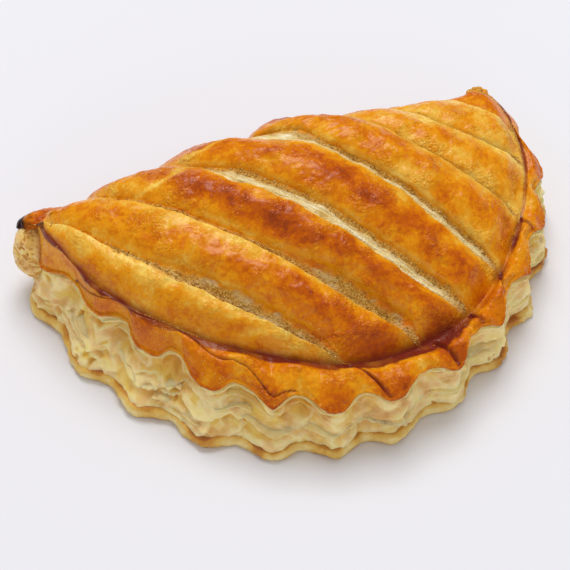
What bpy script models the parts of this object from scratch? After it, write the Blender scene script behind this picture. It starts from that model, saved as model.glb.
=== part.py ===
"""Turnover pastry: a half-moon of puff pastry folded over its filling, baked and glazed.

One closed solid. A grid of columns runs along the slashes from the fold to the score line, and
rings carry its outline on over the fluted rim, down the layered side and round the fold to the
flat base. All sizes are in millimetres, in a frame whose origin is on the ground at the middle
of the fold, with +X along the fold and -Y towards the rim. The finished mesh is in metres, with
its origin under the middle of its bounding box.
"""

import bmesh
import bpy
import numpy as np
from mathutils import Vector

MM = 0.001
NODE_NAME = "turnover"

# Outline, by polar angle about the middle of the fold: 0 at the left tip, 180 at the right one.
OUTLINE_ANGLES = np.arange(0, 181, 22.5)
BASE_RADII = (74.5, 78.0, 84.5, 92.0, 94.5, 90.5, 86.5, 83.5, 76.0)
LIP_INSETS = (-3.0, 2.5, 6.5, 5.5, 1.5, 0.5, 1.0, 1.5, 0.0)
SCORE_RADII = (70.0, 69.5, 72.0, 76.0, 81.5, 82.5, 79.0, 77.0, 72.0)
LEFT_CORNER_ANGLE = -1.0
LOBE_ANGLES = (-11, 8, 29, 43, 57.5, 70, 80.5, 91, 104, 116, 129, 142, 155.5, 170, 182)
LOBE_DEPTH = 1.8
LOBE_DROOP = 2.2

# Fold: the straight back edge, which the filling pushes out a little in the middle.
HALF_FOLD = 76.0
FOLD_BULGE = 5.0
FOLD_WIDEST = 0.6
FOLD_TUCK = 0.25

# Dome: crest height from the left tip to the right one, and its place from fold (0) to rim (1).
CREST_HEIGHTS = (23.0, 29.5, 35.5, 42.0, 43.5, 37.5, 30.5, 26.0, 23.5)
CREST_PLACE = 0.31
RIM_HEIGHT = 20.0

# Slashes: where each leaves the fold, the angle where it meets the score line, and its bow.
SLASH_FOLD_X = (-72.0, -61.0, -40.0, -13.0, 12.0, 29.0, 50.0)
SLASH_SCORE_ANGLES = (84.8, 100.3, 113.0, 125.0, 140.0, 154.5, 163.0)
SLASH_BOWS = (-3.5, -1.5, 2.0, 4.5, 1.5, 0.0, 2.0)
SLASH_OPENNESS = (0.7, 0.7, 1.0, 1.0, 0.35, 0.25, 0.1)
FIRST_RIB_ANGLE = 48.0
TIP_ANGLE = 3.0
TIP_RADIUS = 72.0

# Ribs between the slashes: their share of full height, and their height above the dome at each
# fraction of their width, where the slash gapes and where it stays shut.
RIB_SCALES = (1.0, 0.9, 1.05, 1.1, 1.2, 0.85, 0.75, 0.7)
RIB_FRACTIONS = (0.0, 0.05, 0.15, 0.35, 0.60, 0.80, 0.90, 0.96)
RIB_OPEN = (-3.2, 0.6, 3.0, 4.2, 3.8, 2.6, 1.6, -2.2)
RIB_SHUT = (-1.0, 0.6, 2.0, 2.8, 2.6, 1.8, 0.9, -0.2)
RIB_END_FADE = 0.07
FIRST_RIB_RISE = 3.0
FIRST_RIB_CUT = 6.0
SCORE_DEPTH = 2.0

# Rim band, lip, side and base sheet.
BAND_RISE = 1.6
BAND_SLOPE = 6.0
FAR_TIP_FADE = 20.0
LIP_ROUNDING = 2.2
LIP_DROP = 1.6
LIP_THICKNESS = 2.2
LIP_UNDERCUT = 0.9
WALL_RECESS = 1.4
SHEET_THICKNESS = 3.2
SHEET_ROUNDING = 0.8

# Mesh: columns across the first rib, its last one close to the slash, and rows along each rib.
FIRST_RIB_COLUMNS = 20
FIRST_RIB_EDGE = 0.955
ROW_STEPS = 22


def curve_through(places, values, wanted):
    """Smooth curve through the given values, read at the wanted places."""
    places = np.asarray(places, float)
    values = np.asarray(values, float)
    wanted = np.clip(wanted, places[0], places[-1])
    slopes = np.gradient(values, places)
    start = np.clip(np.searchsorted(places, wanted) - 1, 0, len(places) - 2)
    gap = places[start + 1] - places[start]
    u = (wanted - places[start]) / gap
    blend = ease(u)
    lift = u * (1 - u) ** 2 * slopes[start] - u**2 * (1 - u) * slopes[start + 1]
    return values[start] * (1 - blend) + values[start + 1] * blend + gap * lift


def ease(u):
    """0 to 1 with no slope at either end."""
    u = np.clip(u, 0, 1)
    return u * u * (3 - 2 * u)


def polar(angle, radius):
    """Plan points at an outline angle and a radius."""
    turn = np.radians(angle)
    return np.stack([-radius * np.cos(turn), -radius * np.sin(turn)], axis=-1)


def fold_y(x):
    """The back edge's y at each x."""
    return FOLD_BULGE * (1 - (x / HALF_FOLD) ** 2)


def lobes(angle):
    """+1 at the tip of each rim lobe and -1 in the notch between two."""
    count = np.interp(angle, LOBE_ANGLES, np.arange(len(LOBE_ANGLES)))
    return np.cos(2 * np.pi * count)


def station_ends(s):
    """Plan points of a station on the fold and on the rim, with s from 0 at the left tip to 1."""
    x = -HALF_FOLD * np.cos(np.pi * s)
    radius = curve_through(OUTLINE_ANGLES, BASE_RADII, 180 * s)
    return np.stack([x, fold_y(x)], axis=-1), polar(180 * s, radius)


def stations(plan):
    """Each plan point's station s, found by halving, and its share t of the way to the rim."""
    low = np.zeros(plan.shape[:-1])
    high = np.ones(plan.shape[:-1])
    for _ in range(24):
        s = (low + high) / 2
        back, front = station_ends(s)
        across = front - back
        offset = plan - back
        beyond = across[..., 0] * offset[..., 1] > across[..., 1] * offset[..., 0]
        low = np.where(beyond, s, low)
        high = np.where(beyond, high, s)
    s = (low + high) / 2
    back, front = station_ends(s)
    t = np.linalg.norm(plan - back, axis=-1) / np.linalg.norm(front - back, axis=-1)
    return s, np.clip(t, 0, 1)


def dome(plan):
    """Height of the smooth dome under the ribs."""
    s, t = stations(plan)
    crest = curve_through(np.linspace(0, 1, len(CREST_HEIGHTS)), CREST_HEIGHTS, s)
    climb = (1 - (1 - np.clip(t / CREST_PLACE, 0, 1)) ** 2.6) ** (1 / 2.2)
    fall = np.clip((t - CREST_PLACE) / (1 - CREST_PLACE), 0, 1) ** 1.15
    front = RIM_HEIGHT + (crest - RIM_HEIGHT) * (0.5 + 0.5 * np.cos(np.pi * fall))
    return np.where(t < CREST_PLACE, crest * climb, front)


def column_numbers():
    """Rib number plus fraction across it, for every column of the grid."""
    columns = [np.linspace(0, FIRST_RIB_EDGE, FIRST_RIB_COLUMNS) ** 2]
    columns[0][-1] = FIRST_RIB_EDGE
    for rib in range(1, len(RIB_SCALES)):
        columns.append(rib + np.array(RIB_FRACTIONS))
    return np.append(np.concatenate(columns), len(RIB_SCALES))


def slash_marks(first, last):
    """Slash numbers from the first one to the tip, and their values with the tip's at the end."""
    return np.arange(1, len(RIB_SCALES) + 1), (*first, last)


def column_starts(column):
    """Plan point and outline angle where each column begins: the first rib's on the score line,
    the others' on the shoulder of the fold."""
    tip = polar(180 - TIP_ANGLE, TIP_RADIUS)
    angle = FIRST_RIB_ANGLE - (FIRST_RIB_ANGLE - TIP_ANGLE) * np.sqrt(np.clip(column, 0, 1))
    on_score = polar(angle, curve_through(OUTLINE_ANGLES, SCORE_RADII, angle))
    x = curve_through(*slash_marks(SLASH_FOLD_X, tip[0]), np.maximum(column, 1))
    on_fold = np.stack([x, np.full_like(x, tip[1])], axis=-1)
    return np.where(column[:, None] < 1, on_score, on_fold), angle


def column_end_angles(column):
    """Outline angle where each column meets the score line."""
    span = SLASH_SCORE_ANGLES[0] - FIRST_RIB_ANGLE
    first = FIRST_RIB_ANGLE + span * np.sqrt(np.clip(column, 0, 1))
    marks = slash_marks(SLASH_SCORE_ANGLES, 180 - TIP_ANGLE)
    return np.where(column < 1, first, curve_through(*marks, np.maximum(column, 1)))


def rib_relief(column, row):
    """Height of the ribs above the dome, for each column and each row fraction."""
    fraction = column - np.floor(column)
    slash = np.clip(np.round(column).astype(int), 1, len(SLASH_OPENNESS))
    openness = np.asarray(SLASH_OPENNESS)[slash - 1][:, None]
    gape = openness * ease(row / 0.25) * ease((1 - row) / 0.15)
    across = (*RIB_FRACTIONS, 1.0)
    opened = np.interp(fraction, across, (*RIB_OPEN, RIB_OPEN[0]))[:, None]
    shut = np.interp(fraction, across, (*RIB_SHUT, RIB_SHUT[0]))[:, None]
    relief = shut + (opened - shut) * gape
    first = column < 1
    swell = FIRST_RIB_RISE * ease(fraction[first] * 2.5)[:, None]
    cut = FIRST_RIB_CUT * ease((fraction[first] - 0.8) / 0.2)[:, None]
    relief[first] = swell - cut * (0.4 + 0.6 * gape[first])
    rib = np.minimum(column.astype(int), len(RIB_SCALES) - 1)
    return relief * np.asarray(RIB_SCALES)[rib][:, None] * inside_score(column, row)


def inside_score(column, row):
    """0 on the score line, rising to 1 a little way up each rib."""
    from_start = np.where(column[:, None] < 1, ease(row / RIB_END_FADE), 1.0)
    return from_start * ease((1 - row) / RIB_END_FADE)


def top_grid(column):
    """Points of the slashed top: one row of points for each column, from fold to score line."""
    row = 0.5 - 0.5 * np.cos(np.pi * np.linspace(0, 1, ROW_STEPS + 1))
    start, _ = column_starts(column)
    angle = column_end_angles(column)
    end = polar(angle, curve_through(OUTLINE_ANGLES, SCORE_RADII, angle))
    end[-1] = start[-1]
    run = end - start
    side = np.stack([-run[:, 1], run[:, 0]], axis=-1)
    side /= np.maximum(np.linalg.norm(side, axis=-1, keepdims=True), 1e-6)
    bow = curve_through(np.arange(len(RIB_SCALES) + 1), (0, *SLASH_BOWS, 0), column)
    plan = start[:, None] + run[:, None] * row[:, None]
    plan += side[:, None] * (bow[:, None] * 4 * row * (1 - row))[..., None]
    groove = SCORE_DEPTH * (1 - inside_score(column, row))
    height = dome(plan) + rib_relief(column, row) - groove
    return np.concatenate([plan, height[..., None]], axis=-1)


def evened(angle, column):
    """Outline angles spread evenly within each rib, from the angle at one slash to the next."""
    marks = np.arange(len(RIB_SCALES) + 1)
    order = np.arange(len(column))
    first_of_rib = np.interp(marks, column, order)
    return np.interp(order, first_of_rib, np.interp(marks, column, angle))


def front_rings(angle, outer):
    """Rings from the score line over the rim band, its lip and the side down to the base."""
    score = curve_through(OUTLINE_ANGLES, SCORE_RADII, angle)
    wave = LOBE_DEPTH * lobes(outer)
    foot = curve_through(OUTLINE_ANGLES, BASE_RADII, outer) + wave
    lip = foot - curve_through(OUTLINE_ANGLES, LIP_INSETS, outer)
    brim = RIM_HEIGHT + LOBE_DROOP * (0.2 - 0.5 * lobes(outer))
    slope = np.clip(dome(polar(angle, score)) - RIM_HEIGHT - BAND_RISE, 0, BAND_SLOPE)
    slope *= ease((180 - TIP_ANGLE - angle) / FAR_TIP_FADE)
    under = brim - LIP_DROP - LIP_THICKNESS
    quarter = 0.25 * (lip - score)
    # Share of the way from the inner angle to the outer one, radius and height of each ring.
    sections = (
        (0.15, score + np.minimum(SCORE_DEPTH, quarter), brim + BAND_RISE + 0.85 * slope),
        (0.50, 0.45 * score + 0.55 * lip, brim + 0.7 * BAND_RISE + 0.5 * slope),
        (0.85, lip - np.minimum(LIP_ROUNDING, quarter), brim + 0.2 * BAND_RISE + 0.2 * slope),
        (1.0, lip, brim - LIP_DROP),
        (1.0, lip - LIP_UNDERCUT, under),
        (1.0, 0.7 * lip + 0.3 * foot - WALL_RECESS, 0.72 * under),
        (1.0, 0.4 * lip + 0.6 * foot - WALL_RECESS, 0.48 * under),
        (1.0, foot - WALL_RECESS, 1.2 * SHEET_THICKNESS),
        (1.0, foot - 0.5 * SHEET_ROUNDING, SHEET_THICKNESS),
        (1.0, foot, 0.5 * SHEET_THICKNESS),
        (1.0, foot - SHEET_ROUNDING, 0.0),
    )
    rings = []
    for share, radius, height in sections:
        place = polar(angle + (outer - angle) * share, radius)
        rings.append(np.column_stack([place, np.broadcast_to(height, foot.shape)]))
    return rings


def back_rings(shoulder, relief, count):
    """Rings from the shoulder of the fold down its rounded back to the base."""
    widened = shoulder[:, 0] * HALF_FOLD / TIP_RADIUS
    reach = fold_y(widened) - shoulder[:, 1]
    rings = []
    for step in range(1, count + 1):
        down = step / count
        out = np.sin(0.5 * np.pi * min(down / FOLD_WIDEST, 1.0))
        out -= FOLD_TUCK * ease((down - FOLD_WIDEST) / (1 - FOLD_WIDEST))
        swell = 0.5 * relief * np.sin(np.pi * min(down + 0.15, 1.0))
        x = shoulder[:, 0] + (widened - shoulder[:, 0]) * out
        y = shoulder[:, 1] + reach * out + swell
        z = shoulder[:, 2] * (1 - down) ** 0.9
        rings.append(np.column_stack([x, y, z]))
    return rings


def outline_rings(column, top):
    """Closed rings round the top, each from the right tip along the back, left side and rim."""
    first = FIRST_RIB_COLUMNS
    _, start_angle = column_starts(column)
    end_angle = column_end_angles(column)
    along = np.arange(1, first) / first
    left_angle = FIRST_RIB_ANGLE + (LEFT_CORNER_ANGLE - FIRST_RIB_ANGLE) * along
    left = front_rings(start_angle[1:first], left_angle)
    right = front_rings(end_angle, evened(end_angle, column))
    relief = rib_relief(column, np.array([0.0]))[first:, 0]
    back = back_rings(top[first:, 0], relief, len(right))
    return [np.concatenate([b[::-1], l[::-1], r]) for b, l, r in zip(back, left, right)]


def add_face(mesh, corners):
    """A face through the corners, with each shared corner used once."""
    distinct = list(dict.fromkeys(corners))
    if len(distinct) > 2:
        mesh.faces.new(distinct)


def build_solid():
    """The closed mesh of the pastry, in millimetres."""
    column = column_numbers()
    top = top_grid(column)
    mesh = bmesh.new()
    grid = [[mesh.verts.new(point) for point in line] for line in top[1:-1]]
    grid.insert(0, [mesh.verts.new(top[0, 0])] * len(grid[0]))
    grid.append([mesh.verts.new(top[-1, 0])] * len(grid[0]))
    for here, there in zip(grid[:-1], grid[1:]):
        for corners in zip(here[:-1], there[:-1], there[1:], here[1:]):
            add_face(mesh, corners)
    inner = [line[0] for line in grid[:0:-1]] + [line[-1] for line in grid]
    for points in outline_rings(column, top):
        outer = [mesh.verts.new(point) for point in points]
        for corners in zip(inner, outer, outer[1:] + outer[:1], inner[1:] + inner[:1]):
            add_face(mesh, corners)
        inner = outer
    add_face(mesh, inner)
    bmesh.ops.recalc_face_normals(mesh, faces=mesh.faces)
    return mesh


def recentre(mesh):
    """Puts the middle of the bounding box's base on the origin, and scales to metres."""
    corners = np.array([vertex.co for vertex in mesh.verts])
    low = corners.min(axis=0)
    high = corners.max(axis=0)
    middle = Vector(((low[0] + high[0]) / 2, (low[1] + high[1]) / 2, low[2]))
    bmesh.ops.translate(mesh, verts=mesh.verts, vec=-middle)
    bmesh.ops.scale(mesh, verts=mesh.verts, vec=(MM, MM, MM))


def baked_crust():
    """Golden glazed crust."""
    material = bpy.data.materials.new("baked_crust")
    material.use_nodes = True
    shader = material.node_tree.nodes["Principled BSDF"]
    shader.inputs["Base Color"].default_value = (0.63, 0.27, 0.05, 1.0)
    shader.inputs["Roughness"].default_value = 0.4
    shader.inputs["Metallic"].default_value = 0.0
    return material


def main():
    """Clears the scene and builds the pastry as one object."""
    for item in list(bpy.data.objects):
        bpy.data.objects.remove(item)
    solid = build_solid()
    recentre(solid)
    data = bpy.data.meshes.new(NODE_NAME)
    solid.to_mesh(data)
    solid.free()
    data.shade_smooth()
    data.materials.append(baked_crust())
    pastry = bpy.data.objects.new(NODE_NAME, data)
    bpy.context.scene.collection.objects.link(pastry)


main()
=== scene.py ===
"""Looks of the turnover pastry: a glazed, slashed puff pastry half-moon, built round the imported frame.

Sizes are in millimetres in the maker's frame, with its origin on the table at the middle of the
fold, +X along the fold and -Y towards the fluted rim. Every mesh is placed in metres in the
frame's own coordinates when it is built.
"""

import logging
import math
from collections.abc import Callable
from dataclasses import dataclass, field
from enum import Enum
from functools import partial

import bmesh
import bpy
import numpy as np
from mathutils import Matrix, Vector

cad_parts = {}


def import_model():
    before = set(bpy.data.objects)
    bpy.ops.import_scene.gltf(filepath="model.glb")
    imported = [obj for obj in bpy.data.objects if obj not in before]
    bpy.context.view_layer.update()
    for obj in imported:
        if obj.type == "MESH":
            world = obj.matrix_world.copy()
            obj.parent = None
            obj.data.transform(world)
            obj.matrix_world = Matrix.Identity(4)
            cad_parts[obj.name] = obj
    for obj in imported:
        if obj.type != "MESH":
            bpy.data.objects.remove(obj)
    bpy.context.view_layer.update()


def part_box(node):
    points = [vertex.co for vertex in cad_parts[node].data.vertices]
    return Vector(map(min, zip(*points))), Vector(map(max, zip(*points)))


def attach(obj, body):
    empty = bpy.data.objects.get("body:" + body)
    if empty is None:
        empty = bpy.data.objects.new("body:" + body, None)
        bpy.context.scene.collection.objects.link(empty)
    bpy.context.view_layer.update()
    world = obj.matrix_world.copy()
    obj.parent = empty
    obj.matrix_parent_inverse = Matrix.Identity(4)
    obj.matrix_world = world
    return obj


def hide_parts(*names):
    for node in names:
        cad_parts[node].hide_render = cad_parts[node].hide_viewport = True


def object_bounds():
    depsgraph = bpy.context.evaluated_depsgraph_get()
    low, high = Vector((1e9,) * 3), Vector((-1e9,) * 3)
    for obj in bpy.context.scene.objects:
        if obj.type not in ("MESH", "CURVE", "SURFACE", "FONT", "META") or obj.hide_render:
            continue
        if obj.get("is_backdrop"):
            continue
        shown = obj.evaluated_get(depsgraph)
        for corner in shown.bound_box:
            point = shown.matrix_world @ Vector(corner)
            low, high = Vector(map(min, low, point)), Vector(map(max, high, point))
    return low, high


LOG = logging.getLogger("turnover")

MM = 0.001
NODE = "turnover"
BODY = "root"

# What each point of crust carries: how brown it is, how bare the cut dough is, how crumbly, how
# dark its pooled glaze is, how much it beads and carries painted glints, and its place along and across its
# rib.
CRUST_VALUES = ("bake", "cream", "grain", "glaze", "bead", "along", "across")

Array = np.ndarray
Values = dict[str, Array]
Piece = bpy.types.Object


# ------------------------------
# Small tools


def ease(u: Array) -> Array:
    """Rise from 0 to 1 with no slope at either end.

    Args:
        u: Place along the rise; anything outside 0 to 1 is held at the nearer end.

    Returns:
        The eased value.
    """
    u = np.clip(u, 0, 1)
    return u * u * (3 - 2 * u)


def hump(distance: Array, width: float) -> Array:
    """Bell of height 1 and the given half width.

    Args:
        distance: Distance from the middle of the bell.
        width: Distance at which the bell has fallen to about a third.

    Returns:
        The height of the bell.
    """
    return np.exp(-((distance / width) ** 2))


def curve_through(places: Array, values: Array, wanted: Array) -> Array:
    """Smooth curve through the given values.

    Args:
        places: Rising places of the values.
        values: Values that the curve passes through.
        wanted: Places where the curve is read.

    Returns:
        The curve's value at each wanted place.
    """
    places = np.asarray(places, float)
    values = np.asarray(values, float)
    wanted = np.clip(wanted, places[0], places[-1])
    slopes = np.gradient(values, places)
    start = np.clip(np.searchsorted(places, wanted) - 1, 0, len(places) - 2)
    gap = places[start + 1] - places[start]
    u = (wanted - places[start]) / gap
    blend = ease(u)
    lift = u * (1 - u) ** 2 * slopes[start] - u**2 * (1 - u) * slopes[start + 1]
    return values[start] * (1 - blend) + values[start + 1] * blend + gap * lift


def polar(angle: Array, radius: Array) -> Array:
    """Plan points about the middle of the fold.

    Args:
        angle: Outline angle in degrees, 0 at the left tip and 180 at the right one.
        radius: Distance from the middle of the fold.

    Returns:
        Points with x and y on the last axis.
    """
    turn = np.radians(angle)
    return np.stack([-radius * np.cos(turn), -radius * np.sin(turn)], axis=-1)


def raised(plan: Array, height: Array) -> Array:
    """Plan points with their heights as a third coordinate."""
    height = np.broadcast_to(height, plan.shape[:-1])
    return np.concatenate([plan, height[..., None]], axis=-1)


def linear(hex_colour: str) -> tuple[float, float, float, float]:
    """Linear colour of an sRGB hex value.

    Args:
        hex_colour: Six hex digits after a hash sign.

    Returns:
        Red, green, blue and an alpha of 1.
    """
    parts = [int(hex_colour[i : i + 2], 16) / 255 for i in (1, 3, 5)]
    curved = [p / 12.92 if p <= 0.04045 else ((p + 0.055) / 1.055) ** 2.4 for p in parts]
    return (curved[0], curved[1], curved[2], 1.0)


def add_object(name: str, data: bpy.types.ID) -> bpy.types.Object:
    """Makes an object and links it to the scene.

    Args:
        name: Name of the object.
        data: Its mesh, camera or light.

    Returns:
        The new object.
    """
    thing = bpy.data.objects.new(name, data)
    bpy.context.scene.collection.objects.link(thing)
    return thing


def store(mesh: bpy.types.Mesh, key: str, values: Array) -> None:
    """Stores a named value for each point of a mesh."""
    layer = mesh.attributes.new(key, "FLOAT", "POINT")
    layer.data.foreach_set("value", values.astype(np.float32))


class Mark(Enum):
    """Point value of the crust that says where loose grains lie."""

    CRUMBS = "grain"
    # Beads of set glaze; the same value also paints glints on the crust.
    BEADS = "bead"


def crust_values(bake: Array, **given: Array) -> Values:
    """Point values of a stretch of crust.

    Args:
        bake: How brown each point is.
        **given: Other values by name; one that isn't given is 0.

    Returns:
        A value for each point under each of the crust's names.
    """
    given["bake"] = bake
    return {key: given.get(key, np.zeros_like(bake)) for key in CRUST_VALUES}


class Noise3D:
    """Base of the seeded noises: it gives each cell of space one of 256 random entries."""

    entries = 256

    def __init__(self, seed: int) -> None:
        """Starts the random draw from its seed and shuffles the entries."""
        self.draw = np.random.default_rng(seed)
        self.order = self.draw.permutation(self.entries)

    def entry(self, cell: Array) -> Array:
        """Number of each cell's entry.

        Args:
            cell: Whole-numbered cells, on the last axis.

        Returns:
            Numbers from 0 to 255.
        """
        last = self.entries - 1
        mixed = self.order[cell[..., 0] & last]
        for axis in (1, 2):
            mixed = self.order[(mixed + cell[..., axis]) & last]
        return mixed


class Grain3D(Noise3D):
    """Gradient noise, for lumps, waves and patches."""

    def __init__(self, seed: int) -> None:
        """Draws the random directions of the cell corners.

        Args:
            seed: Seed of the random draw.
        """
        super().__init__(seed)
        ways = self.draw.normal(size=(self.entries, 3))
        self.ways = ways / np.linalg.norm(ways, axis=1, keepdims=True)

    def single(self, at: Array) -> Array:
        """One layer of noise, about -1 to 1, with features one unit across.

        Args:
            at: Points in units of the feature size.

        Returns:
            The noise at each point.
        """
        cell = np.floor(at).astype(int)
        inside = at - cell
        fade = ease(inside)
        total = np.zeros(at.shape[:-1])
        for step in np.ndindex(2, 2, 2):
            offset = np.array(step)
            way = self.ways[self.entry(cell + offset)]
            weight = np.prod(np.where(offset == 1, fade, 1 - fade), axis=-1)
            total += weight * np.sum(way * (inside - offset), axis=-1)
        return 1.6 * total

    def __call__(self, at: Array, size: float | tuple[float, float, float], layers: int = 1) -> Array:
        """Layered noise.

        Args:
            at: Points in millimetres.
            size: Size of the largest features in millimetres, one for all axes or one each.
            layers: Number of layers, each half the size and strength of the one before.

        Returns:
            About -1 to 1 for each point.
        """
        scaled = np.asarray(at, float) / np.asarray(size, float)
        total = np.zeros(scaled.shape[:-1])
        for layer in range(layers):
            total += self.single(scaled * 2**layer + 17.3 * layer) / 2**layer
        return total


class Bubbles3D(Noise3D):
    """Cells, for the bubbles that steam leaves between leaves of dough."""

    def __init__(self, seed: int) -> None:
        """Draws the random places and sizes of the bubbles.

        Args:
            seed: Seed of the random draw.
        """
        super().__init__(seed)
        self.places = self.draw.uniform(0.15, 0.85, size=(self.entries, 3))
        self.sizes = self.draw.uniform(0, 1, size=self.entries)

    def __call__(self, at: Array, size: tuple[float, float, float]) -> tuple[Array, Array]:
        """Distance to the nearest cell wall, and the random size of the cell.

        Args:
            at: Points in millimetres.
            size: Cell size along each axis in millimetres.

        Returns:
            Two arrays: 0 on a cell's wall rising to about 1 inside, and each cell's own number.
        """
        scaled = at / np.asarray(size, float)
        cell = np.floor(scaled).astype(int)
        nearest = np.full(at.shape[:-1], 9.0)
        second = np.full(at.shape[:-1], 9.0)
        owner = np.zeros(at.shape[:-1])
        for step in np.ndindex(3, 3, 3):
            here = cell + np.array(step) - 1
            entry = self.entry(here)
            reach = np.linalg.norm(here + self.places[entry] - scaled, axis=-1)
            closer = reach < nearest
            second = np.where(closer, nearest, np.minimum(second, reach))
            owner = np.where(closer, self.sizes[entry], owner)
            nearest = np.where(closer, reach, nearest)
        return second - nearest, owner


@dataclass
class Skin:
    """Gathers the points, faces and point values of one piece, then makes its object."""

    name: str
    points: list[Array] = field(default_factory=list)
    corners: list[Array] = field(default_factory=list)
    places: list[Array] = field(default_factory=list)
    values: dict[str, list[Array]] = field(default_factory=dict)
    count: int = 0

    def add_points(self, points: Array, **values: Array) -> Array:
        """Adds a block of points.

        Args:
            points: Points in the maker's frame, in millimetres, on the last axis.
            values: A named value for each point; every block gives the same names.

        Returns:
            The points' numbers, in the block's shape.
        """
        shape = points.shape[:-1]
        number = self.count + np.arange(int(np.prod(shape))).reshape(shape)
        self.count += number.size
        self.points.append(points.reshape(-1, 3))
        for key, value in values.items():
            spread = np.broadcast_to(value, shape).reshape(-1)
            self.values.setdefault(key, []).append(spread)
        return number

    def add_patch(self, number: Array, low: tuple[float, float], high: tuple[float, float]) -> None:
        """Adds the faces of a grid of points.

        Args:
            number: Point numbers, as rows and columns.
            low: Place of the first corner on the piece's flat pattern, 0 to 1 each way.
            high: Place of the last corner on the pattern.
        """
        rows, columns = number.shape
        across, along = np.meshgrid(
            np.linspace(low[0], high[0], rows), np.linspace(low[1], high[1], columns), indexing="ij"
        )
        place = np.stack([across, along], axis=-1)
        for grid, kept in ((number, self.corners), (place, self.places)):
            quads = [grid[:-1, :-1], grid[1:, :-1], grid[1:, 1:], grid[:-1, 1:]]
            stacked = np.stack(quads, axis=2)
            kept.append(stacked.reshape(-1, *stacked.shape[2:]))

    def build(self, origin: Array) -> Piece:
        """Makes the mesh object, shaded smooth, merging corners that share a point.

        Args:
            origin: Place of the maker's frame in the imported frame, in metres.

        Returns:
            The new object, linked to the scene.
        """
        points = np.concatenate(self.points) * MM + origin
        corners = np.concatenate(self.corners)
        places = np.concatenate(self.places)
        whole = (np.diff(np.sort(corners, axis=1), axis=1) > 0).all(axis=1)
        faces = corners[whole].tolist()
        spots = [places[whole].reshape(-1, 2)]
        for quad, place in zip(corners[~whole].tolist(), places[~whole]):
            kept = [i for i in range(4) if quad[i] not in quad[:i]]
            if len(kept) == 3:
                faces.append([quad[i] for i in kept])
                spots.append(place[kept])
        mesh = bpy.data.meshes.new(self.name)
        mesh.from_pydata(points.tolist(), [], faces)
        pattern = mesh.uv_layers.new(name="OFBake")
        pattern.data.foreach_set("uv", np.concatenate(spots).astype(np.float32).ravel())
        for key, blocks in self.values.items():
            store(mesh, key, np.concatenate(blocks))
        self.tidy(mesh)
        mesh.shade_smooth()
        return add_object(self.name, mesh)

    @staticmethod
    def tidy(mesh: bpy.types.Mesh) -> None:
        """Turns the faces outward and drops points that no face uses.

        Args:
            mesh: Mesh that is changed.
        """
        work = bmesh.new()
        work.from_mesh(mesh)
        loose = [point for point in work.verts if not point.link_faces]
        bmesh.ops.delete(work, geom=loose, context="VERTS")
        bmesh.ops.recalc_face_normals(work, faces=work.faces)
        work.to_mesh(mesh)
        work.free()


# ------------------------------
# Form shared by every piece


@dataclass(frozen=True)
class Slash:
    """One diagonal cut across the top: its course and how it opened in the oven.

    It runs from fold_x on the fold to score_angle on the score line, bowed sideways by bow, and
    gapes by gape between the shares opens and closes of its length, with flare more near the
    fold. The share beyond of its width is taken from the rib on its right and the rest from the
    one on its left. Cream is how much of it shows pale leaves instead of toasted crumb.
    """

    fold_x: float
    score_angle: float
    bow: float
    gape: float
    opens: float
    closes: float
    cream: float
    beyond: float
    flare: float = 0.0


@dataclass(frozen=True)
class Patch:
    """Soft patch on a rib that baked darker or stayed paler than the rest of it.

    Its place and size are shares along and across the rib; a negative amount is paler.
    """

    row: float
    across: float
    length: float
    width: float
    amount: float


@dataclass(frozen=True)
class Rib:
    """One plump band of crust between two slashes."""

    scale: float
    bake: float
    patches: tuple[Patch, ...] = ()


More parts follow.
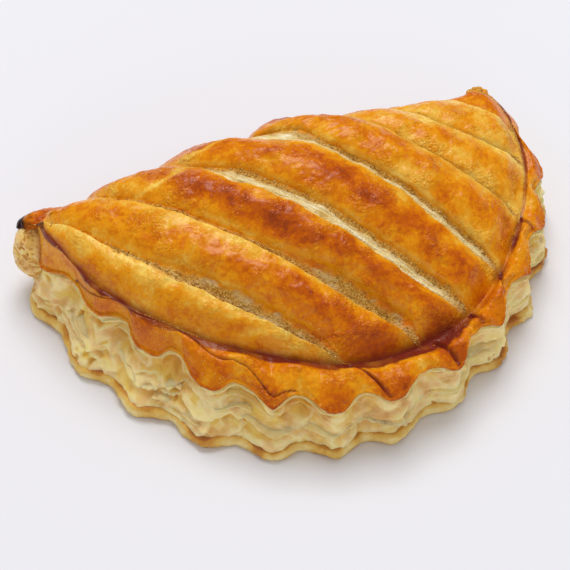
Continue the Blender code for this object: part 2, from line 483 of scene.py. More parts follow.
@dataclass
class PastryForm:
    """Outline, dome, slashes and ribs, as the frame has them."""

    # Where the solid's box ends, from the middle of the fold.
    left_reach: float = 77.86
    back_reach: float = 6.27
    # The outline seen from above: radii about the middle of the fold at evenly spaced angles.
    outline_angles: tuple[float, ...] = tuple(22.5 * i for i in range(9))
    base_radii: tuple[float, ...] = (74.5, 78.0, 84.5, 92.0, 94.5, 90.5, 86.5, 83.5, 76.0)
    lip_insets: tuple[float, ...] = (2.5, 6.2, 9.6, 5.5, 1.5, 0.5, 1.0, 1.5, 1.5)
    score_radii: tuple[float, ...] = (69.4, 69.7, 70.8, 75.2, 81.5, 82.5, 79.3, 77.6, 71.4)
    # The rim's lobes: the angle of each tip, and its size and width against the usual one.
    lobe_angles: tuple[float, ...] = (
        -11, 8, 29, 43, 57.5, 70, 80.5, 91, 104, 116, 129, 142, 155.5, 170, 182,
    )
    lobe_sizes: tuple[float, ...] = (
        0.8, 0.9, 0.7, 0.95, 1.0, 1.0, 1.0, 0.9, 1.0, 0.9, 0.85, 0.9, 0.85, 0.75, 0.7,
    )
    lobe_widths: tuple[float, ...] = (
        1.0, 1.2, 1.1, 1.6, 1.4, 0.75, 1.3, 1.1, 1.0, 0.8, 0.8, 1.1, 1.2, 1.0, 1.0,
    )
    lobe_depth: float = 1.8
    lobe_droop: float = 2.2
    # The rounded fold at the back, and the dome's ridge along it.
    half_fold: float = 76.0
    fold_bulge: float = 5.0
    fold_widest: float = 0.6
    fold_tuck: float = 0.25
    crest_heights: tuple[float, ...] = (23.0, 29.5, 35.5, 42.0, 43.5, 37.5, 30.5, 26.0, 23.5)
    crest_place: float = 0.31
    # The rim band, the two tips and the base sheet.
    rim_height: float = 20.0
    band_rise: float = 1.6
    first_rib_angle: float = 48.0
    tip_angle: float = 3.0
    tip_radius: float = 72.0
    corner_angle: float = -1.0
    tip_lip: float = 70.8
    sheet: float = 3.2
    # The slashes from left to right, and the ribs between them with their patches.
    slashes: tuple[Slash, ...] = (
        Slash(-72.0, 84.8, -3.5, 6.0, 0.37, 0.95, 0.2, 0.85),
        Slash(-56.5, 100.3, -1.3, 6.0, 0.54, 1.00, 0.1, 0.85),
        Slash(-34.0, 113.0, -0.2, 5.7, 0.11, 1.02, 1.0, 0.48),
        Slash(-6.5, 125.0, 2.3, 4.8, -0.20, 1.02, 0.95, 0.44, 1.4),
        Slash(20.0, 140.0, -1.3, 1.4, 0.0, 1.0, 0.0, 0.50),
        Slash(37.0, 154.5, -2.6, 1.2, 0.0, 1.0, 0.0, 0.50),
        Slash(55.0, 163.0, 0.4, 0.9, 0.0, 1.0, 0.0, 0.50),
    )
    ribs: tuple[Rib, ...] = (
        Rib(1.0, 0.33, (
            Patch(0.55, 0.25, 0.06, 0.25, 0.22),
            Patch(0.95, 0.75, 0.10, 0.40, 0.20),
            Patch(0.70, 0.60, 0.12, 0.30, 0.10),
        )),
        Rib(0.9, 0.49, (
            Patch(0.74, 0.64, 0.07, 0.16, 0.34),
            Patch(0.90, 0.35, 0.12, 0.50, 0.48),
            Patch(0.60, 0.45, 0.10, 0.25, 0.12),
            Patch(0.30, 0.75, 0.12, 0.15, -0.12),
            Patch(0.55, 0.80, 0.14, 0.12, -0.16),
        )),
        Rib(1.05, 0.63, (
            Patch(0.36, 0.62, 0.12, 0.24, 0.26),
            Patch(0.58, 0.50, 0.10, 0.22, 0.28),
            Patch(0.76, 0.45, 0.07, 0.20, 0.16),
            Patch(0.17, 0.50, 0.012, 0.50, -0.42),
            Patch(0.08, 0.30, 0.06, 0.30, -0.22),
            Patch(0.50, 0.22, 0.25, 0.08, -0.14),
        )),
        Rib(1.1, 0.55, (
            Patch(0.46, 0.50, 0.06, 0.20, 0.34),
            Patch(0.60, 0.48, 0.05, 0.18, 0.30),
            Patch(0.74, 0.50, 0.08, 0.20, 0.26),
            Patch(0.91, 0.42, 0.05, 0.25, 0.22),
            Patch(0.32, 0.60, 0.06, 0.16, 0.20),
            Patch(0.09, 0.45, 0.012, 0.40, -0.40),
        )),
        Rib(1.2, 0.44, (
            Patch(0.40, 0.46, 0.07, 0.18, 0.26),
            Patch(0.16, 0.40, 0.08, 0.40, 0.20),
            Patch(0.70, 0.40, 0.05, 0.20, 0.14),
            Patch(0.93, 0.50, 0.06, 0.25, 0.24),
            Patch(0.60, 0.20, 0.20, 0.12, -0.12),
        )),
        Rib(0.85, 0.32, (Patch(0.60, 0.50, 0.08, 0.25, 0.16),)),
        Rib(0.75, 0.30, (Patch(0.55, 0.30, 0.10, 0.25, 0.14),)),
        Rib(0.7, 0.60, (Patch(0.35, 0.50, 0.10, 0.30, 0.16),)),
    )
    # Width of a slash that stayed shut, and the rim's mean radius.
    shut_gap: float = 1.9
    rim_reach: float = 88.0

    def origin(self) -> Array:
        """Place of the maker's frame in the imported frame, in metres, from the solid's box."""
        low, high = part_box(NODE)
        return np.array([low[0] + self.left_reach * MM, high[1] - self.back_reach * MM, low[2]])

    def outline(self, radii: tuple[float, ...], angle: Array) -> Array:
        """Radius read from one of the outline's tables."""
        return curve_through(self.outline_angles, radii, angle)

    def lobes(self, angle: Array) -> Array:
        """+1 at the tip of each rim lobe and -1 in the notch between two."""
        count = np.interp(angle, self.lobe_angles, np.arange(len(self.lobe_angles)))
        return np.cos(2 * np.pi * count)

    def teeth(self, angle: Array) -> Array:
        """Like lobes, with each lobe's own size and width.

        Args:
            angle: Outline angle in degrees.

        Returns:
            -1 in a notch, up to +1 at the tip of a lobe.
        """
        count = np.interp(angle, self.lobe_angles, np.arange(len(self.lobe_angles)))
        lobe = np.round(count).astype(int)
        away = 2 * np.abs(count - lobe)
        swell = 1 + np.cos(np.pi * away ** np.asarray(self.lobe_widths)[lobe])
        return swell * np.asarray(self.lobe_sizes)[lobe] - 1

    def notch_distance(self, angle: Array) -> Array:
        """Distance in millimetres along the rim to the nearest notch.

        Args:
            angle: Outline angle in degrees.

        Returns:
            The distance at each angle.
        """
        marks = np.asarray(self.lobe_angles, float)
        notches = (marks[:-1] + marks[1:]) / 2
        away = np.abs(np.asarray(angle)[..., None] - notches).min(axis=-1)
        return np.radians(away) * self.rim_reach

    def foot(self, angle: Array) -> Array:
        """Radius of the base's fluted edge."""
        return self.outline(self.base_radii, angle) + self.lobe_depth * self.lobes(angle)

    def lip(self, angle: Array) -> Array:
        """Radius of the top crust's fluted edge, which draws in to the left tip.

        Args:
            angle: Outline angle in degrees.

        Returns:
            Radius in millimetres.
        """
        smooth = self.outline(self.base_radii, angle) - self.outline(self.lip_insets, angle)
        toothed = smooth + 1.1 * self.lobe_depth * self.teeth(angle)
        drawn = self.tip_lip + (toothed - self.tip_lip) * ease((angle - 4.0) / 6.0)
        return np.minimum(toothed, drawn)

    def brim(self, angle: Array) -> Array:
        """Height of the top crust at its edge, drooping at each lobe."""
        return self.rim_height + self.lobe_droop * (0.2 - 0.5 * self.teeth(angle))

    def score(self, angle: Array) -> Array:
        """Radius of the score line."""
        return self.outline(self.score_radii, angle)

    def fold_y(self, x: Array) -> Array:
        """The back edge's y at each x."""
        return self.fold_bulge * (1 - (x / self.half_fold) ** 2)

    def station_ends(self, s: Array) -> tuple[Array, Array]:
        """Plan points of a station on the fold and on the rim.

        Args:
            s: Station along the fold, 0 at the left tip and 1 at the right one.

        Returns:
            The station's points on the fold and on the rim.
        """
        x = -self.half_fold * np.cos(np.pi * s)
        back = np.stack([x, self.fold_y(x)], axis=-1)
        return back, polar(180 * s, self.outline(self.base_radii, 180 * s))

    def dome(self, plan: Array) -> Array:
        """Height of the smooth dome under the ribs.

        Args:
            plan: Plan points.

        Returns:
            Height at each point. The point's station on the fold is found by halving.
        """
        low = np.zeros(plan.shape[:-1])
        high = np.ones(plan.shape[:-1])
        for _ in range(24):
            s = (low + high) / 2
            back, front = self.station_ends(s)
            across = front - back
            offset = plan - back
            beyond = across[..., 0] * offset[..., 1] > across[..., 1] * offset[..., 0]
            low = np.where(beyond, s, low)
            high = np.where(beyond, high, s)
        s = (low + high) / 2
        back, front = self.station_ends(s)
        span = np.maximum(np.linalg.norm(front - back, axis=-1), 1e-6)
        t = np.clip(np.linalg.norm(plan - back, axis=-1) / span, 0, 1)
        crest = curve_through(np.linspace(0, 1, len(self.crest_heights)), self.crest_heights, s)
        climb = (1 - (1 - np.clip(t / self.crest_place, 0, 1)) ** 2.6) ** (1 / 2.2)
        fall = np.clip((t - self.crest_place) / (1 - self.crest_place), 0, 1) ** 1.15
        fallen = self.rim_height + (crest - self.rim_height) * (0.5 + 0.5 * np.cos(np.pi * fall))
        return np.where(t < self.crest_place, crest * climb, fallen)

    def marks(self) -> Array:
        """Numbers of the slashes and of the far tip: 1, 2 and so on."""
        return np.arange(1, len(self.ribs) + 1)

    def starts(self, number: Array) -> Array:
        """Plan point where the path of a slash number begins.

        Args:
            number: Slash number, with fractions between slashes.

        Returns:
            Points on the score line below number 1 and on the fold's shoulder above it.
        """
        tip = polar(180 - self.tip_angle, self.tip_radius)
        share = np.sqrt(np.clip(number, 0, 1))
        angle = self.first_rib_angle - (self.first_rib_angle - self.tip_angle) * share
        on_score = polar(angle, self.score(angle))
        fold_x = (*(cut.fold_x for cut in self.slashes), tip[0])
        x = curve_through(self.marks(), fold_x, np.maximum(number, 1))
        on_fold = np.stack([x, np.full_like(x, tip[1])], axis=-1)
        return np.where(np.asarray(number)[..., None] < 1, on_score, on_fold)

    def end_angles(self, number: Array) -> Array:
        """Outline angle where the path of a slash number meets the score line.

        Args:
            number: Slash number, with fractions between slashes.

        Returns:
            The angle in degrees.
        """
        ends = (*(cut.score_angle for cut in self.slashes), 180 - self.tip_angle)
        share = np.sqrt(np.clip(number, 0, 1))
        first = self.first_rib_angle + (ends[0] - self.first_rib_angle) * share
        later = curve_through(self.marks(), ends, np.maximum(number, 1))
        return np.where(np.asarray(number) < 1, first, later)

    def path(self, number: Array, row: Array) -> Array:
        """Plan points along the slashes and between them.

        Args:
            number: Slash number, with fractions between slashes.
            row: Share of the way from the fold (0) to the score line (1).

        Returns:
            Plan points.
        """
        number, row = np.broadcast_arrays(np.asarray(number, float), np.asarray(row, float))
        start = self.starts(number)
        angle = self.end_angles(number)
        end = polar(angle, self.score(angle))
        end = np.where(number[..., None] >= len(self.ribs), start, end)
        run = end - start
        side = np.stack([-run[..., 1], run[..., 0]], axis=-1)
        side = side / np.maximum(np.linalg.norm(side, axis=-1, keepdims=True), 1e-6)
        bows = (0, *(cut.bow for cut in self.slashes), 0)
        bow = curve_through(np.arange(len(bows)), bows, number)
        return start + run * row[..., None] + side * (bow * 4 * row * (1 - row))[..., None]

    def openness(self, cut: Slash, row: Array) -> Array:
        """How far a slash has opened along its length, 0 to 1."""
        return ease((row - cut.opens) / 0.2) * ease((cut.closes - row) / 0.12)


# ------------------------------
# Finishes


def add_node(
    material: bpy.types.Material,
    kind: str,
    settings: dict[str, object] | None = None,
    links: dict[str | int, object] | None = None,
    output: str | int = 0,
) -> bpy.types.NodeSocket:
    """Adds one shader node and joins it up.

    Args:
        material: Material that gets the node.
        kind: Node type, without its ShaderNode prefix.
        settings: Node properties, input values by name, and "stops" for a row of colours.
        links: Output sockets or constants, by the name or number of the input they feed.
        output: Name or number of the output wanted.

    Returns:
        The wanted output.
    """
    node = material.node_tree.nodes.new("ShaderNode" + kind)
    for key, value in (settings or {}).items():
        if key == "stops":
            row = node.color_ramp
            row.interpolation = "EASE"
            while len(row.elements) < len(value):
                row.elements.new(0.5)
            for element, (place, colour) in zip(row.elements, value):
                element.position = place
                element.color = linear(colour)
        elif hasattr(node, key):
            setattr(node, key, value)
        else:
            node.inputs[key].default_value = value
    for key, source in (links or {}).items():
        if isinstance(source, bpy.types.NodeSocket):
            material.node_tree.links.new(source, node.inputs[key])
        else:
            node.inputs[key].default_value = source
    return node.outputs[output]


def per(size: float) -> float:
    """Pattern scale, in features per metre, of a feature size in millimetres."""
    return 1 / (size * MM)


ADD = {"operation": "MULTIPLY_ADD"}
ADD_LIMITED = {"operation": "MULTIPLY_ADD", "use_clamp": True}
TAKE = {"operation": "SUBTRACT"}
TIMES = {"operation": "MULTIPLY"}
MIX = {"data_type": "RGBA"}
Stops = tuple[tuple[float, str], ...]
Adder = Callable[..., bpy.types.NodeSocket]


@dataclass(frozen=True)
class Finish:
    """Base of every finish: a named material with one Principled shader."""

    name: str

    def make(self) -> bpy.types.Material:
        """Makes the material, with the finish's own settings on its shader.

        Returns:
            The new material.
        """
        material = bpy.data.materials.new(self.name)
        material.use_nodes = True
        shader = material.node_tree.nodes["Principled BSDF"]
        for key, value in self.dress(partial(add_node, material)).items():
            if isinstance(value, bpy.types.NodeSocket):
                material.node_tree.links.new(value, shader.inputs[key])
            else:
                shader.inputs[key].default_value = value
        return material

    def dress(self, add: Adder) -> dict[str, object]:
        """Lays out the finish's nodes.

        Args:
            add: Adds one node to the material.

        Returns:
            Shader inputs by name, as sockets or constants.
        """
        raise NotImplementedError


@dataclass(frozen=True)
class GlazedPuffCrust(Finish):
    """Puff pastry crust brushed with egg wash and baked: a glossy skin, golden where it stayed
    low or pale and orange-brown on the crests, with fine bubbles and caramelised cuts."""

    name: str = "glazed_puff_crust"
    bakes: Stops = (
        (0.0, "#F8D164"),
        (0.2, "#EEB33E"),
        (0.42, "#E8950E"),
        (0.62, "#D87604"),
        (0.8, "#C15A08"),
        (0.92, "#B04C10"),
        (1.0, "#9A4012"),
    )
    caramel: str = "#7C2A18"
    doughs: Stops = ((0.3, "#D3A853"), (0.5, "#F2D998"), (0.7, "#FFF2CE"))
    crumbs: Stops = ((0.25, "#85520F"), (0.42, "#BD8226"), (0.6, "#D9A94E"), (0.8, "#F0D48C"))
    # Sizes in millimetres. Real specks and crumb grit are nearer 0.1 mm and the leaves of cut
    # dough 0.2 mm: those are drawn coarser, so that they show.
    patch_size: float = 5.0
    flake_size: float = 6.5
    blister_zone: float = 8.0
    spot_size: float = 1.3
    speck_size: float = 0.5
    grit_size: float = 0.55
    crumb_size: float = 0.5
    blister_size: float = 0.85
    fibre_size: float = 0.9
    bump_depth: float = 0.32
    # Level taken off the sum of the patterns, so that a plain bake of 0.5 comes out mid-gold.
    pale_shift: float = 0.86
    # Baked egg wash is a thin hard film: as glossy as varnish, duller over bare dough.
    gloss: float = 0.11
    bare_dullness: float = 0.40

    def dress(self, add: Adder) -> dict[str, object]:
        """Lays out the crust's colour, gloss and fine relief from its point values.

        Args:
            add: Adds one node to the material.

        Returns:
            Shader inputs by name, as sockets or constants.
        """
        place = {"Vector": add("TexCoord", output="Object")}
        value = {key: add("Attribute", {"attribute_name": key}, output="Fac") for key in CRUST_VALUES}
        patches = add("TexNoise", {"Scale": per(self.patch_size), "Detail": 3.0}, place)
        spots = add("TexNoise", {"Scale": per(self.spot_size), "Detail": 2.0}, place)
        specks = add("TexNoise", {"Scale": per(self.speck_size), "Detail": 1.0}, place)
        flakes = add("TexNoise", {"Scale": per(self.flake_size), "Detail": 5.0}, place)
        flakes = add("Math", {"operation": "SNAP"}, {0: flakes, 1: 0.075})
        # Painted glints: where beads are marked, the crust turns paler and yellower in flecks.
        bead = add("Math", TIMES, {0: value["bead"], 1: spots})

        level = add("Math", TAKE, {0: value["bake"], 1: self.pale_shift})
        shares = ((patches, 0.55), (flakes, 0.50), (spots, 0.46), (specks, 0.22), (bead, -0.35))
        for part, share in shares:
            level = add("Math", ADD, {0: part, 1: share, 2: level})
        skin = add("ValToRGB", {"stops": self.bakes}, {0: level})

        course = add("CombineXYZ", None, {0: value["along"], 1: value["across"]})
        course = add("Mapping", {"Scale": (1 / 6, 1.0, 1.0)}, {"Vector": course})
        fibre = {"Scale": per(self.fibre_size), "Detail": 4.0}
        fibre = add("TexNoise", fibre, {"Vector": course})
        grit = add("TexNoise", {"Scale": per(self.grit_size), "Detail": 2.5}, place)
        layers = (
            (value["glaze"], linear(self.caramel)),
            (value["grain"], add("ValToRGB", {"stops": self.crumbs}, {0: grit})),
            (value["cream"], add("ValToRGB", {"stops": self.doughs}, {0: fibre})),
        )
        for share, colour in layers:
            skin = add("Mix", MIX, {0: share, 6: skin, 7: colour}, 2)

        bare = add("Math", {"operation": "MAXIMUM"}, {0: value["cream"], 1: value["grain"]})
        rough = add("Math", ADD, {0: spots, 1: 0.26, 2: self.gloss})
        rough = add("Math", ADD, {0: bare, 1: self.bare_dullness, 2: rough})

        bubble = add("TexVoronoi", {"Scale": per(self.blister_size)}, place, "Distance")
        bubble = add("Math", ADD, {0: specks, 1: 0.9, 2: bubble})
        zone = add("TexNoise", {"Scale": per(self.blister_zone), "Detail": 2.0}, place)
        zone = add("Math", ADD_LIMITED, {0: zone, 1: 5.0, 2: -2.4})
        coarse = add("TexNoise", {"Scale": per(self.crumb_size), "Detail": 2.0}, place)
        coarse = add("Math", TIMES, {0: coarse, 1: value["grain"]})
        threads = add("Math", TIMES, {0: fibre, 1: value["cream"]})
        height = add("Math", TIMES, {0: bubble, 1: zone})
        height = add("Math", TIMES, {0: height, 1: 1.7})
        for part, share in ((spots, 0.55), (flakes, 4.0), (coarse, 2.2), (threads, 4.0)):
            height = add("Math", ADD, {0: part, 1: share, 2: height})
        bump = add("Bump", {"Strength": 0.8, "Distance": self.bump_depth * MM}, {"Height": height})
        return {
            "Base Color": skin,
            "Roughness": rough,
            "IOR": 1.45,
            "Specular IOR Level": 0.25,
            "Normal": bump,
        }


@dataclass(frozen=True)
class PuffCrumb(Finish):
    """Inside of puff pastry, torn open by steam: cream leaves, darker and yellower in the pockets
    with painted shade and lighter on proud ridges with painted light, toasted where the oven's
    heat reached a thin edge and darkened with painted shade in hollows and pores."""

    name: str = "puff_crumb"
    # The creams run from painted shade deep in a hollow to painted light on a proud ridge, shifted at
    # random by the clouds.
    creams_lit_and_shaded: Stops = ((0.0, "#C48A28"), (0.3, "#E8B242"), (0.55, "#F6D06A"), (0.8, "#FFE5A6"))
    tan: str = "#E6B26C"
    butter: str = "#F0D25E"
    toast: str = "#CE8828"
    cloud_size: float = 3.0
    leaf_size: float = 0.7
    tone_size: float = 5.0
    bump_depth: float = 0.35
    # Buttery dough is slightly translucent, and light goes furthest through it in red.
    glow_depth: float = 2.5

    def dress(self, add: Adder) -> dict[str, object]:
        """Lays out the crumb's colour and fine relief from its point values.

        Args:
            add: Adds one node to the material.

        Returns:
            Shader inputs by name, as sockets or constants.
        """
        place = add("TexCoord", output="Object")
        # The relief value is painted light and shade: low in hollows and pores, high on proud ridges and
        # edges.
        relief = add("Attribute", {"attribute_name": "relief"}, output="Fac")
        toast = add("Attribute", {"attribute_name": "toast"}, output="Fac")
        flat = add("Mapping", {"Scale": (1.0, 1.0, 2.2)}, {"Vector": place})
        cloud = add("TexNoise", {"Scale": per(self.cloud_size), "Detail": 3.0}, {"Vector": flat})
        fine = add("TexNoise", {"Scale": per(self.leaf_size), "Detail": 2.0}, {"Vector": flat})
        level = add("Math", ADD, {0: cloud, 1: 0.45, 2: relief})
        level = add("Math", ADD, {0: fine, 1: 0.22, 2: level})
        level = add("Math", TAKE, {0: level, 1: 0.19})
        colour = add("ValToRGB", {"stops": self.creams_lit_and_shaded}, {0: level})
        warm = add("TexNoise", {"Scale": per(self.tone_size), "Detail": 2.0}, {"Vector": place})
        for slope, start, other in ((2.6, -1.15, self.tan), (-2.6, 1.15, self.butter)):
            share = add("Math", ADD_LIMITED, {0: warm, 1: slope, 2: start})
            colour = add("Mix", MIX, {0: share, 6: colour, 7: linear(other)}, 2)
        # The toast colour also stands in for painted shade in hollows and pores.
        colour = add("Mix", MIX, {0: toast, 6: colour, 7: linear(self.toast)}, 2)
        height = add("Math", ADD, {0: fine, 1: 1.0, 2: cloud})
        bump = add("Bump", {"Strength": 0.5, "Distance": self.bump_depth * MM}, {"Height": height})
        return {
            "Base Color": colour,
            "Roughness": 0.34,
            "IOR": 1.42,
            "Subsurface Weight": 0.5,
            "Subsurface Radius": (1.0, 0.65, 0.3),
            "Subsurface Scale": self.glow_depth * MM,
            "Normal": bump,
        }


@dataclass(frozen=True)
class BakedBase(Finish):
    """Bottom sheet of dough, baked on a tray: brown on its upper edge and underside, with a
    pale side."""

    name: str = "baked_base_sheet"
    bakes: Stops = ((0.0, "#F0D790"), (0.35, "#E4B856"), (0.6, "#CC8A28"), (0.85, "#A85F18"))
    cloud_size: float = 6.0
    fine_size: float = 0.8
    bump_depth: float = 0.3

    def dress(self, add: Adder) -> dict[str, object]:
        """Lays out the sheet's colour and fine relief from its point values.

        Args:
            add: Adds one node to the material.

        Returns:
            Shader inputs by name, as sockets or constants.
        """
        place = {"Vector": add("TexCoord", output="Object")}
        level = add("Attribute", {"attribute_name": "bake"}, output="Fac")
        cloud = add("TexNoise", {"Scale": per(self.cloud_size), "Detail": 3.0}, place)
        fine = add("TexNoise", {"Scale": per(self.fine_size), "Detail": 2.0}, place)
        level = add("Math", TAKE, {0: level, 1: 0.65})
        for part, share in ((cloud, 1.15), (fine, 0.2)):
            level = add("Math", ADD, {0: part, 1: share, 2: level})
        bump = add("Bump", {"Strength": 0.4, "Distance": self.bump_depth * MM}, {"Height": fine})
        return {
            "Base Color": add("ValToRGB", {"stops": self.bakes}, {0: level}),
            "Roughness": 0.55,
            "IOR": 1.45,
            "Normal": bump,
        }


@dataclass(frozen=True)
class CaramelGrain(Finish):
    """Grains of caramelised egg wash and dough, glossy where the glaze set over them."""

    shades: Stops = ()
    roughness: float = 0.35

    def dress(self, add: Adder) -> dict[str, object]:
        """Gives each grain its own shade.

        Args:
            add: Adds one node to the material.

        Returns:
            Shader inputs by name, as sockets or constants.
        """
        shade = add("Attribute", {"attribute_name": "shade"}, output="Fac")
        colour = add("ValToRGB", {"stops": self.shades}, {0: shade})
        return {"Base Color": colour, "Roughness": self.roughness, "IOR": 1.5}


@dataclass(frozen=True)
class PaleBoard(Finish):
    """Matt white board under the pastry."""

    name: str = "pale_board"
    colour: str = "#E7E7ED"

    def dress(self, add: Adder) -> dict[str, object]:
        """Sets the plain colour."""
        return {"Base Color": linear(self.colour), "Roughness": 0.9, "Specular IOR Level": 0.1}


# ------------------------------
# Glazed crust


@dataclass(frozen=True)
class ScoreLine:
    """Line pressed between the filled dome and the rim, deep and caramelised at the front."""

    # Round the line: outline angles, and there its depth in millimetres, how dark its pooled glaze
    # is and the glaze's half width in millimetres.
    angles: tuple[float, ...] = (
        0, 12, 30, 48, 70, 84, 92, 110, 115, 121, 125, 129, 133, 138, 144, 150, 168, 180,
    )
    depths: tuple[float, ...] = (
        0.6, 1.1, 1.5, 1.4, 1.6, 2.0, 2.4, 2.4, 1.9, 1.4, 1.5, 1.0, 1.0, 0.8, 0.5, 0.4, 0.4, 0.4,
    )
    darks: tuple[float, ...] = (
        0.7, 1.0, 1.0, 0.8, 1.0, 1.0, 1.0, 1.0, 0.4, 0.15, 0.8, 0.2, 0.95, 0.95, 0.5, 0.7, 0.95, 0.9,
    )
    widths: tuple[float, ...] = (
        0.4, 1.0, 1.8, 1.4, 1.6, 1.8, 2.5, 2.6, 1.7, 1.2, 1.3, 1.0, 1.3, 1.2, 0.7, 0.8, 0.9, 0.8,
    )
    # Small cuts over the rim: outline angle at the line and at the lip, and strength.
    cuts: tuple[tuple[float, float, float], ...] = (
        (44.0, 20.0, 1.4),
        (49.0, 74.0, 0.9),
        (84.8, 90.0, 0.9),
        (103.4, 104.0, 1.1),
        (113.0, 112.5, 0.8),
        (125.0, 120.6, 0.6),
        (140.0, 138.0, 0.7),
    )

    def depth(self, angle: Array) -> Array:
        """Depth of the line in millimetres."""
        return curve_through(self.angles, self.depths, angle)

    def dark(self, angle: Array) -> Array:
        """How much dark glaze has pooled in the line."""
        return curve_through(self.angles, self.darks, angle)

    def width(self, angle: Array) -> Array:
        """Half width of the pooled glaze in millimetres."""
        return curve_through(self.angles, self.widths, angle)


@dataclass
class GlazedTop:
    """Top crust from the back edge over the slashed dome down to the score line."""

    form: PastryForm
    line: ScoreLine
    rows: int = 236
    first_columns: int = 74
    rib_columns: int = 43
    back_rings: int = 30
    low_edge: float = 0.14
    high_edge: float = 0.86
    overhang: float = 0.9
    rib_length: float = 110.0
    # Rise of the first rib from the score line and of the last one from the tip.
    first_rise: float = 3.4
    last_rise: float = 2.6
    # Outline angle from which the pooled glaze breaks up into beads.
    beads_from: float = 122.0
    # Heights of the skin's own relief, in millimetres.
    lump: float = 0.5
    ripple: float = 0.2
    pimple: float = 0.10
    flake: float = 0.16
    # Height across a rib at the shares given by knots: beside a slash that shows pale leaves, one
    # that shows toasted crumb, and one that stayed shut.
    knots: tuple[float, ...] = (
        0.0, 0.05, 0.10, 0.14, 0.18, 0.23, 0.32, 0.45, 0.60, 0.74, 0.82, 0.86, 0.872, 0.91, 0.965, 1.0,
    )
    ledge: tuple[float, ...] = (
        0.7, 0.6, 0.8, 1.3, 2.2, 3.1, 4.1, 4.6, 4.4, 3.7, 3.1, 2.5, 1.7, 1.6, 1.3, 0.7,
    )
    grainy: tuple[float, ...] = (
        -1.0, -1.0, -0.7, 0.0, 1.2, 2.6, 3.9, 4.5, 4.3, 3.4, 2.7, 2.2, 1.3, -0.1, -0.8, -1.0,
    )
    shut: tuple[float, ...] = (
        -0.1, 0.0, 0.2, 0.6, 1.3, 2.0, 2.7, 3.0, 2.9, 2.4, 1.8, 1.4, 1.2, 0.7, 0.1, -0.1,
    )

    def __post_init__(self) -> None:
        """Seeds the noises."""
        self.lumps = Grain3D(11)
        self.tint = Grain3D(12)
        self.ragged = Grain3D(13)

    def gape(self, cut: Slash, seed: float, row: Array) -> tuple[Array, Array]:
        """Width of a slash in millimetres along its length, and its openness.

        Args:
            cut: The slash.
            seed: Sets its uneven edges apart from the others'.
            row: Share of the way along the rib, 0 at the fold.

        Returns:
            The width in millimetres, and the openness from 0 to 1.
        """
        openness = self.form.openness(cut, row)
        line = np.stack([row * self.rib_length, np.full_like(row, seed), 0 * row], axis=-1)
        uneven = 1 + 0.22 * self.ragged(line, 9.0, 2) + 0.10 * self.ragged(line, 2.2)
        width = self.form.shut_gap + (cut.gape - self.form.shut_gap) * openness
        return width * uneven * (1 + cut.flare * hump(row - 0.12, 0.12)), openness

    def columns(self) -> tuple[Array, Array]:
        """Rib index and share across the rib of every column of the dome.

        Returns:
            Rib indices, and shares from 0 to 1.
        """
        step = np.linspace(0, 1, self.first_columns, endpoint=False)
        shares = [np.interp(step, (0, 0.75, 1.0), (0, self.high_edge, 1.0))]
        ribs = [np.zeros(self.first_columns, int)]
        step = np.linspace(0, 1, self.rib_columns, endpoint=False)
        places = np.interp(step, (0, 0.22, 0.76, 1.0), (0, 0.22, 0.82, 1.0))
        for rib in range(1, len(self.form.ribs)):
            shares.append(places)
            ribs.append(np.full(len(places), rib))
        rib = np.append(np.concatenate(ribs), len(self.form.ribs) - 1)
        return rib, np.append(np.concatenate(shares), 1.0)

    def rib_width(self, rib: int, row: Array) -> Array:
        """Distance across a rib, square to its length, at each row.

        Args:
            rib: Index of the rib.
            row: Share of the way along the rib, 0 at the fold.

        Returns:
            Width in millimetres.
        """
        there = self.form.path(rib + 1.0, row)
        near = self.form.path(rib + (0.9 if rib == 0 else 0.0), row)
        along = np.gradient(there, axis=0)
        along /= np.maximum(np.linalg.norm(along, axis=-1, keepdims=True), 1e-6)
        across = (there - near) / (0.1 if rib == 0 else 1.0)
        width = np.abs(along[:, 0] * across[:, 1] - along[:, 1] * across[:, 0])
        return np.maximum(width, 1.5)

    def lookup(self, cut: Slash, openness: Array, share: Array) -> Array:
        """Height above the dome on the side of one slash.

        Args:
            cut: The slash.
            openness: How far it has opened at each row.
            share: Share across the rib.

        Returns:
            Height in millimetres.
        """
        ledge = curve_through(self.knots, self.ledge, share)
        grainy = curve_through(self.knots, self.grainy, share)
        shut = curve_through(self.knots, self.shut, share)
        opened = grainy + (ledge - grainy) * cut.cream
        return shut + (opened - shut) * openness

    def spread(self, p: Array, low_part: Array, high_part: Array, index: int) -> Array:
        """Share of the way across a rib, with the slash's own share at each side.

        Args:
            p: Place across the rib, as its columns have it.
            low_part: Share of the rib that the slash below it takes.
            high_part: Share of the rib that the slash above it takes.
            index: Index of the rib.

        Returns:
            Share from slash to slash.
        """
        body = np.clip((p - self.low_edge) / (self.high_edge - self.low_edge), 0, 1)
        low = np.clip(p / self.low_edge, 0, 1)
        high = np.clip((p - self.high_edge) / (1 - self.high_edge), 0, 1)
        if index == 0:
            return np.clip(p / self.high_edge, 0, 1) ** 2 * (1 - high_part) + high * high_part
        return low_part * low + body * (1 - low_part - high_part) + high * high_part

